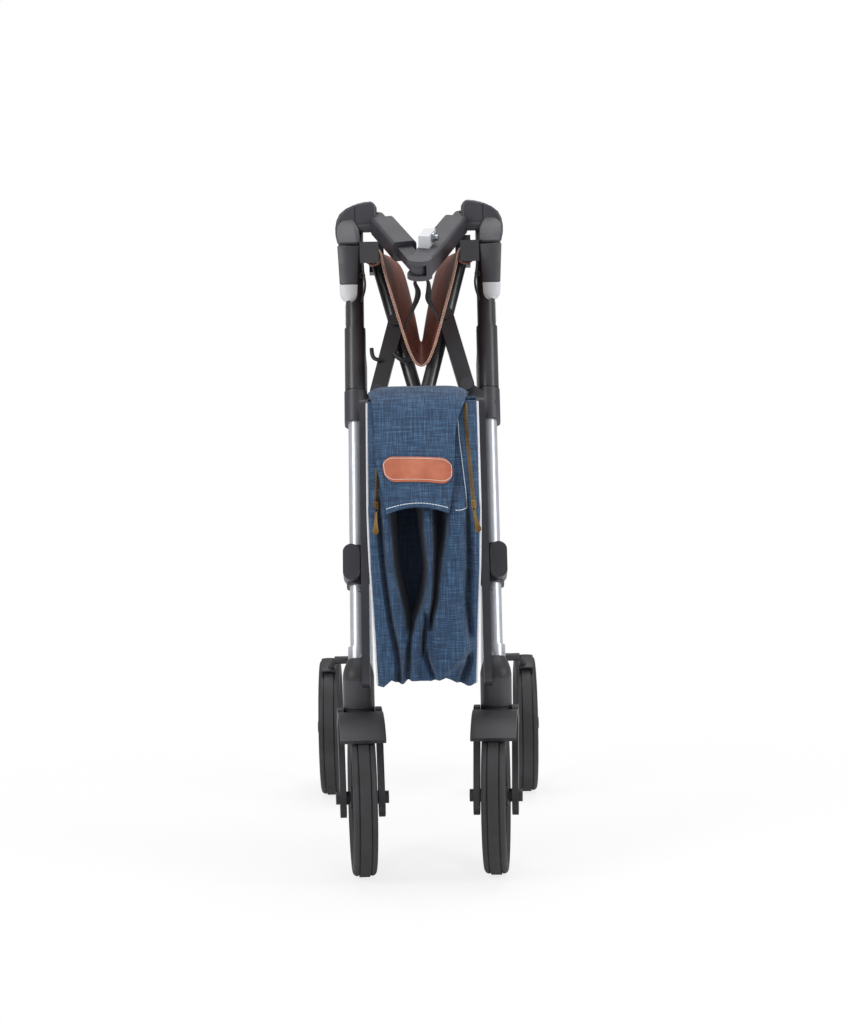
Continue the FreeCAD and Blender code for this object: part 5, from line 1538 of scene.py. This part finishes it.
@dataclass
class HandleHead:
    """The moulded head on a handle post: a sloping shell with a seam, a lip and a neck for the lever.

    shell and neck hold outlines as (x, height), seen from the front. lip, seam_front and seam_roof
    are boxes, each by two corners. The grip's core runs back and down from grip_root.
    """

    side: Side
    shell: tuple[tuple[float, float], ...] = (
        (57.5, 818.5), (56.8, 826.0), (57.5, 852.0), (60.0, 857.0), (64.5, 858.8), (74.0, 858.0),
        (86.0, 855.0), (98.0, 849.5), (106.5, 842.5), (110.8, 834.0), (112.7, 824.0), (112.6, 815.0),
        (110.6, 806.0), (98.0, 812.0), (82.0, 817.5), (76.0, 818.5))
    neck: tuple[tuple[float, float], ...] = (
        (80.2, 822.0), (80.0, 805.0), (81.2, 800.3), (107.0, 800.3), (109.5, 803.5), (111.6, 812.0),
        (111.8, 826.0), (104.0, 836.0), (88.0, 838.0))
    front_y: float = -8.0
    rear_y: float = 65.5
    neck_front_y: float = -33.5
    neck_rear_y: float = 50.5
    neck_slope: float = 0.9
    neck_slope_z: float = 806.0
    lip: tuple[Point, Point] = ((57.2, -11.2, 818.0), (84.0, -2.0, 828.0))
    seam_front: tuple[Point, Point] = ((85.2, -10.0, 828.5), (86.6, -6.6, 866.0))
    seam_roof: tuple[Point, Point] = ((85.2, -10.0, 854.0), (86.6, 53.5, 866.0))
    grip_root: Point = (96.0, 51.0, 838.0)
    grip_drop_deg: float = 28.0
    core_radius: float = 10.9
    core_length: float = 45.0
    collar_radius: float = 14.5
    collar_span: tuple[float, float] = (10.0, 26.2)

    def mirror(self, *points: Point) -> list[Point]:
        """The points on this head's side."""
        return [(self.side.value * x, y, z) for x, y, z in points]

    def slab(self, outline: Sequence[tuple[float, float]], front: float, rear: float) -> bpy.types.Object:
        """A solid with this outline between two depths, on this head's side."""
        return prism(self.mirror(*((x, front, z) for x, z in outline)), (0, rear - front, 0))

    def build(self) -> None:
        """Build the head from its shell, neck, lip, seam and grip core."""
        shell = self.slab(self.shell, self.front_y, self.rear_y)
        soften(shell, 3.6, 5, 40)
        neck = self.slab(self.neck, self.neck_front_y, self.neck_rear_y)
        self.slope(neck)
        soften(neck, 4.5, 5, 30)
        lip = block(*self.mirror(*self.lip))
        soften(lip, 1.6, 3, 40)
        for corners in (self.seam_front, self.seam_roof):
            knife = block(*self.mirror(*corners))
            apply_modifier(shell, "BOOLEAN", operation="DIFFERENCE", object=knife, solver="EXACT")
            bpy.data.objects.remove(knife)
        soften(shell, 0.0)
        drop = math.radians(self.grip_drop_deg)
        way = Vector((0.0, math.cos(drop), -math.sin(drop)))
        root = Vector(self.mirror(self.grip_root)[0])
        core = rod(root, root + way * self.core_length, self.core_radius, 48)
        near, far = self.collar_span
        collar = rod(root + way * near, root + way * far, self.collar_radius, 48)
        soften(collar, 1.2, 3, 40)
        head = join([shell, neck, lip, core, collar])
        finish_piece(head, f"handle_head_{self.side.word}", Paint.SHELL, f"post_{self.side.word}",
                     "black_plastic")
        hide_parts(f"{self.side.word}_handle_head")

    def slope(self, neck: bpy.types.Object) -> None:
        """Lean the neck's front face back towards its top, so that it runs into the shell.

        Args:
            neck: the neck as a straight solid.
        """
        for vertex in neck.data.vertices:
            rise = vertex.co.z - self.neck_slope_z * MM
            if vertex.co.y < 0 and rise > 0:
                vertex.co.y += rise * self.neck_slope


@dataclass
class SmallParts:
    """Bolt heads, rings, strips and the clip that the photograph shows.

    Each of bolts has its body, and its x, v and u along the leaning legs. Every ring and curve
    is a row of control points.
    """

    bolts: tuple[tuple[str, float, float, float], ...] = (
        ("link_right", 32.8, -31.6, 480.4),
        ("link_right", 58.6, -31.6, 380.6),
        ("link_left", -32.8, -10.6, 480.4),
        ("link_left", -58.6, -10.6, 380.6))
    bolt_radius: float = 4.2
    bolt_height: float = 2.4
    ring_middle: Point = (76.5, -37.0, 760.0)
    ring_size: float = 4.0
    ring_radius: float = 0.9
    clamp_bolt_place: Point = (86.5, -16.5, 108.0)
    clamp_bolt_radius: float = 3.4
    clamp_bolt_height: float = 4.0
    strip_x: float = 99.7
    strip_half: float = 9.0
    strip_span: tuple[float, float] = (478.0, 505.0)
    strip_thickness: float = 1.1
    bow: tuple[Point, ...] = (
        (-36.0, -14.0, 432.0), (-30.0, -16.5, 424.0), (-20.0, -16.5, 420.0), (-10.0, -16.0, 427.0),
        (-8.0, -14.0, 436.0))
    bow_radius: float = 3.4
    hook: tuple[Point, ...] = (
        (-52.0, -13.0, 424.0), (-60.0, -14.0, 423.0), (-66.0, -14.0, 430.0), (-66.0, -13.5, 440.0))
    hook_radius: float = 2.8

    def build(self) -> None:
        """Build each small part."""
        for number, (body, x, v, u) in enumerate(self.bolts):
            self.pivot_bolt(f"pivot_bolt_{number}", body, x, v, u)
        for side in Side:
            self.cable_ring(side)
            self.clamp_bolt(side)
            self.height_strip(side)
        clip = join([wire_mesh([lean(*spot) for spot in self.bow], self.bow_radius),
                     wire_mesh([lean(*spot) for spot in self.hook], self.hook_radius)])
        finish_piece(clip, "fold_clip", Paint.NYLON, "link_left", "black_plastic")

    def pivot_bolt(self, name: str, body: str, x: float, v: float, u: float) -> None:
        """The head of one pivot's bolt, with its hexagon socket.

        Args:
            name: the piece's name.
            body: the CAD body that it sits on.
            x: its place across.
            v: its face's place, square to the leg.
            u: its place along the leg.
        """
        face = v - self.bolt_height
        head = rod(lean(x, v + 0.3, u), lean(x, face, u), self.bolt_radius, 36)
        soften(head, 0.7, 3, 40)
        socket = rod(lean(x, face + 0.2, u), lean(x, face - 0.15, u), self.bolt_radius * 0.45, 6)
        finish_piece(join([head, socket]), name, Paint.ZINC, body, "steel")

    def cable_ring(self, side: Side) -> None:
        """A small ring on the post that guides the brake cable.

        Args:
            side: the walker's side.
        """
        middle, y, z = self.ring_middle
        x, size = side.value * middle, self.ring_size
        steps = ((-side.value * size, 0.0), (0.0, size), (side.value * size, 0.0), (0.0, -size))
        ring = wire_mesh([(x + across, y, z + up) for across, up in steps], self.ring_radius, cyclic=True)
        finish_piece(ring, f"cable_ring_{side.word}", Paint.NYLON, f"post_{side.word}", "black_plastic")

    def clamp_bolt(self, side: Side) -> None:
        """The small bolt under each oval clamp cover.

        Args:
            side: the walker's side.
        """
        middle, v, u = self.clamp_bolt_place
        x = side.value * middle
        head = rod(lean(x, v, u), lean(x, v - self.clamp_bolt_height, u), self.clamp_bolt_radius, 30)
        soften(head, 0.8, 3, 40)
        finish_piece(head, f"clamp_bolt_{side.word}", Paint.ZINC, f"frame_{side.word}", "steel")

    def height_strip(self, side: Side) -> None:
        """The pale strip on the outer side of each post, just above its sleeve.

        Args:
            side: the walker's side.
        """
        half, (low, high) = self.strip_half, self.strip_span
        corners = ((-half, low), (half, low), (half, high), (-half, high))
        strip = prism([lean(side.value * self.strip_x, v, u) for v, u in corners],
                      (side.value * self.strip_thickness, 0, 0))
        soften(strip, 0.3, 2, 40)
        finish_piece(strip, f"height_strip_{side.word}", Paint.PALE, f"post_{side.word}", "black_plastic")


# Brakes and feet

@dataclass
class Lever:
    """A brake lever: a crowned blade that hangs before the post, with a pale rounded tip.

    front holds (height, depth) pairs of the blade's face.
    """

    side: Side
    x: float = 95.0
    top_z: float = 799.0
    tip_z: float = 748.0
    end_z: float = 727.0
    top_half: float = 14.0
    tip_half: float = 9.8
    crown: float = 3.2
    bow: float = 1.0
    thickness: float = 4.2
    tip_round: float = 9.0
    tip_cut: float = 0.86
    parting: float = 0.25
    front: tuple[tuple[float, float], ...] = (
        (727.0, -51.5), (748.0, -47.5), (775.0, -36.5), (799.0, -29.5))
    pivot: tuple[float, float] = (-22.0, 793.0)
    boss_half: float = 11.2
    boss_radius: float = 6.6
    web_half: float = 8.5
    web_y: tuple[float, float] = (-31.0, -20.0)
    web_z: tuple[float, float] = (786.0, 799.0)

    def place(self, low: float, high: float) -> Callable[[float, float], Point]:
        """The function that places the blade between two heights.

        Args:
            low: the height of the blade's lower end.
            high: the height of its upper end.

        Returns:
            The function, for shares across and up.
        """
        def spot(a: float, b: float) -> Point:
            """A point for its share across and up."""
            z = low + (high - low) * b
            share = (z - self.end_z) / (self.top_z - self.end_z)
            half = self.tip_half + (self.top_half - self.tip_half) * share
            corner = max(1 - (z - self.end_z) / self.tip_round, 0.0)
            half *= math.sqrt(max(1 - self.tip_cut * corner ** 2.4, 0.02))
            across = 2 * a - 1
            bow = self.bow * math.sin(math.pi * share)
            y = level(self.front, z) - self.crown * (1 - across ** 2) - bow
            return (self.side.value * (self.x + half * across), y, z)

        return spot

    def build(self) -> None:
        """Build the blade, its tip, the pivot's boss and the web between them."""
        blade = cloth(28, 50, self.place(self.tip_z + self.parting, self.top_z))
        tip = cloth(28, 26, self.place(self.end_z, self.tip_z - self.parting))
        side = self.side.value
        boss = rod(*((side * (self.x + sign * self.boss_half), *self.pivot) for sign in (-1, 1)),
                   self.boss_radius, 40)
        web = block(*((side * (self.x + sign * self.web_half), y, z)
                      for sign, y, z in zip((-1, 1), self.web_y, self.web_z)))
        for piece in (blade, tip):
            thicken(piece, self.thickness)
            soften(piece, 0.9, 3, 50)
        soften(boss, 0.8, 3, 40)
        soften(web, 1.2, 3, 40)
        body = f"brake_lever_{self.side.word}"
        whole = join([blade, boss, web])
        finish_piece(whole, f"lever_blade_{self.side.word}", Paint.SHELL, body, "black_plastic")
        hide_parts(f"{self.side.word}_brake_lever")
        finish_piece(tip, f"lever_tip_{self.side.word}", Paint.PALE, body, "black_plastic")


@dataclass
class BrakeShoe:
    """A rear brake shoe: a thin tab that curves over the tyre, on a slim hinged arm.

    axle and pivot are (depth, height) pairs. The tab starts near the pivot and runs back over
    the tyre, at reach from the axle.
    """

    side: Side
    axle: tuple[float, float] = (258.0, 100.0)
    pivot: tuple[float, float] = (203.263, 206.789)
    reach: float = 104.0
    thickness: float = 3.5
    inner_x: float = 132.0
    outer_x: float = 154.0
    crown: float = 1.0
    start_deg: float = 4.0
    sweep_deg: float = 20.0
    bush_x: tuple[float, float] = (104.0, 134.0)
    bush_radius: float = 5.6
    rib_x: tuple[float, float] = (133.0, 140.0)
    rib_radius: float = 4.0

    def over(self, x: float, reach: float, turn: float) -> Point:
        """The point at this reach and angle about the axle, on this shoe's side."""
        y, z = self.axle
        return (self.side.value * x, y + reach * math.cos(turn), z + reach * math.sin(turn))

    def build(self) -> None:
        """Build the tab, its arm and the bushing on the pin."""
        side = self.side.value
        rise, back = self.pivot[1] - self.axle[1], self.pivot[0] - self.axle[0]
        start = math.degrees(math.atan2(rise, back))

        def place(a: float, b: float) -> Point:
            """A point of the tab for its share across the tyre and along it."""
            turn = math.radians(start + self.start_deg - self.sweep_deg * b)
            reach = self.reach + self.thickness / 2 - self.crown * (2 * a - 1) ** 2
            return self.over(self.inner_x + (self.outer_x - self.inner_x) * a, reach, turn)

        tab = cloth(16, 30, place)
        thicken(tab, self.thickness)
        soften(tab, 0.6, 2, 50)
        bush = rod(*((side * x, *self.pivot) for x in self.bush_x), self.bush_radius, 32)
        soften(bush, 0.6, 2, 40)
        inner, outer = self.rib_x
        end = self.over(outer, self.reach + self.thickness, math.radians(start))
        rib = rod((side * inner, *self.pivot), end, self.rib_radius, 24)
        shoe = join([tab, bush, rib])
        finish_piece(shoe, f"brake_shoe_tab_{self.side.word}", Paint.NYLON, f"brake_shoe_{self.side.word}",
                     "black_plastic")
        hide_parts(f"{self.side.word}_brake_shoe")


@dataclass
class FootCover:
    """The moulded shoulder that closes the foot of a front leg onto its steering head.

    low holds the foot's depth and height, and half of its width and depth. top_half holds the
    same halves at the top, which stands at top_u along the leg.
    """

    side: Side
    x: float = 88.0
    low: tuple[float, float, float, float] = (-213.0, 246.5, 20.0, 25.0)
    top_u: float = 16.5
    top_half: tuple[float, float] = (14.2, 21.2)
    squareness: float = 0.8
    sweep: float = 2.2
    wall: float = 1.6
    sleeve_margin: float = 2.0
    sleeve_reach: float = 14.0

    def place(self, a: float, b: float) -> Point:
        """A point of the cover.

        Args:
            a: the share round the leg, from 0 to 1.
            b: the share up, from 0 to 1.

        Returns:
            The point in millimetres.
        """
        turn = 2 * math.pi * a
        across, along = (math.copysign(abs(part) ** self.squareness, part)
                         for part in (math.cos(turn), math.sin(turn)))
        y, z, wide, deep = self.low
        foot = Vector((self.x + wide * across, y + deep * along, z))
        wide, deep = self.top_half
        high = Vector(lean(self.x + wide * across, deep * along, self.top_u))
        spot = foot.lerp(high, b ** self.sweep)
        spot.z = foot.z + (high.z - foot.z) * b
        return (self.side.value * spot.x, spot.y, spot.z)

    def build(self) -> None:
        """Build the cover and give the sleeve above it its pale metal."""
        cover = cloth(64, 16, self.place)
        thicken(cover, self.wall, -1.0)
        body = f"frame_{self.side.word}"
        finish_piece(cover, f"leg_foot_cover_{self.side.word}", Paint.NYLON, body, "black_plastic")
        head = bpy.data.objects[f"{self.side.word}_steering_head"]
        head.data.materials.append(Paint.SILVER.get())
        for face in head.data.polygons:
            place = face.center / MM
            up = (place.y - LEAN_Y) * math.sin(LEAN) + (place.z - LEAN_Z) * math.cos(LEAN)
            inward = self.x - self.side.value * place.x
            if up > self.top_u - self.sleeve_margin and inward < self.sleeve_reach:
                face.material_index = len(head.data.materials) - 1


@dataclass
class LatchPlate:
    """The pale plate of the latch, which the right half of the push bar carries as one CAD node.

    A face's place is counted along the bar from its middle joint, and above the centre plane.
    """

    tilt_deg: float = 17.8
    half_deg: float = 14.5
    joint: Point = (0.0, -188.7, 767.8)
    span: tuple[float, float] = (41.0, 79.0)
    height: float = 13.3

    def dress(self) -> None:
        """Give the plate's faces their pale finish."""
        bar = bpy.data.objects["push_bar_right"]
        bar.data.materials.append(Paint.PALE.get())
        tilt, half = math.radians(self.tilt_deg), math.radians(self.half_deg)
        along = Vector((math.sin(half), math.cos(half) * math.cos(tilt), math.cos(half) * math.sin(tilt)))
        above = Vector((0.0, -math.sin(tilt), math.cos(tilt)))
        near, far = self.span
        for face in bar.data.polygons:
            place = face.center / MM - Vector(self.joint)
            pale = near < place.dot(along) < far and place.dot(above) > self.height
            face.material_index = 1 if pale else 0


# Main


def main() -> None:
    """Load the frame, dress it, and build every piece in order."""
    logging.basicConfig(level=logging.INFO, format="%(message)s")
    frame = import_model()
    Studio().build()
    Dresser().dress(list(frame["nodes"]))
    LatchPlate().dress()
    bag = Bag()
    bag.build()
    Flap().build()
    left_zip = ((-57.1, 519.0), (-57.8, 500.0), (-59.0, 477.0))
    right_zip = ((54.4, 597.0), (54.7, 577.0), (56.3, 548.0), (58.8, 511.0), (61.3, 477.0))
    Zip(Side.LEFT, left_zip, (-60.0, -337.0, 443.0)).build(bag)
    Zip(Side.RIGHT, right_zip, (66.5, -337.0, 444.0)).build(bag)
    for side in Side:
        for part in (Sling, HandleHead, Lever, BrakeShoe, FootCover):
            part(side).build()
    PullStrap().build()
    SmallParts().build()


if __name__ == "__main__":
    main()
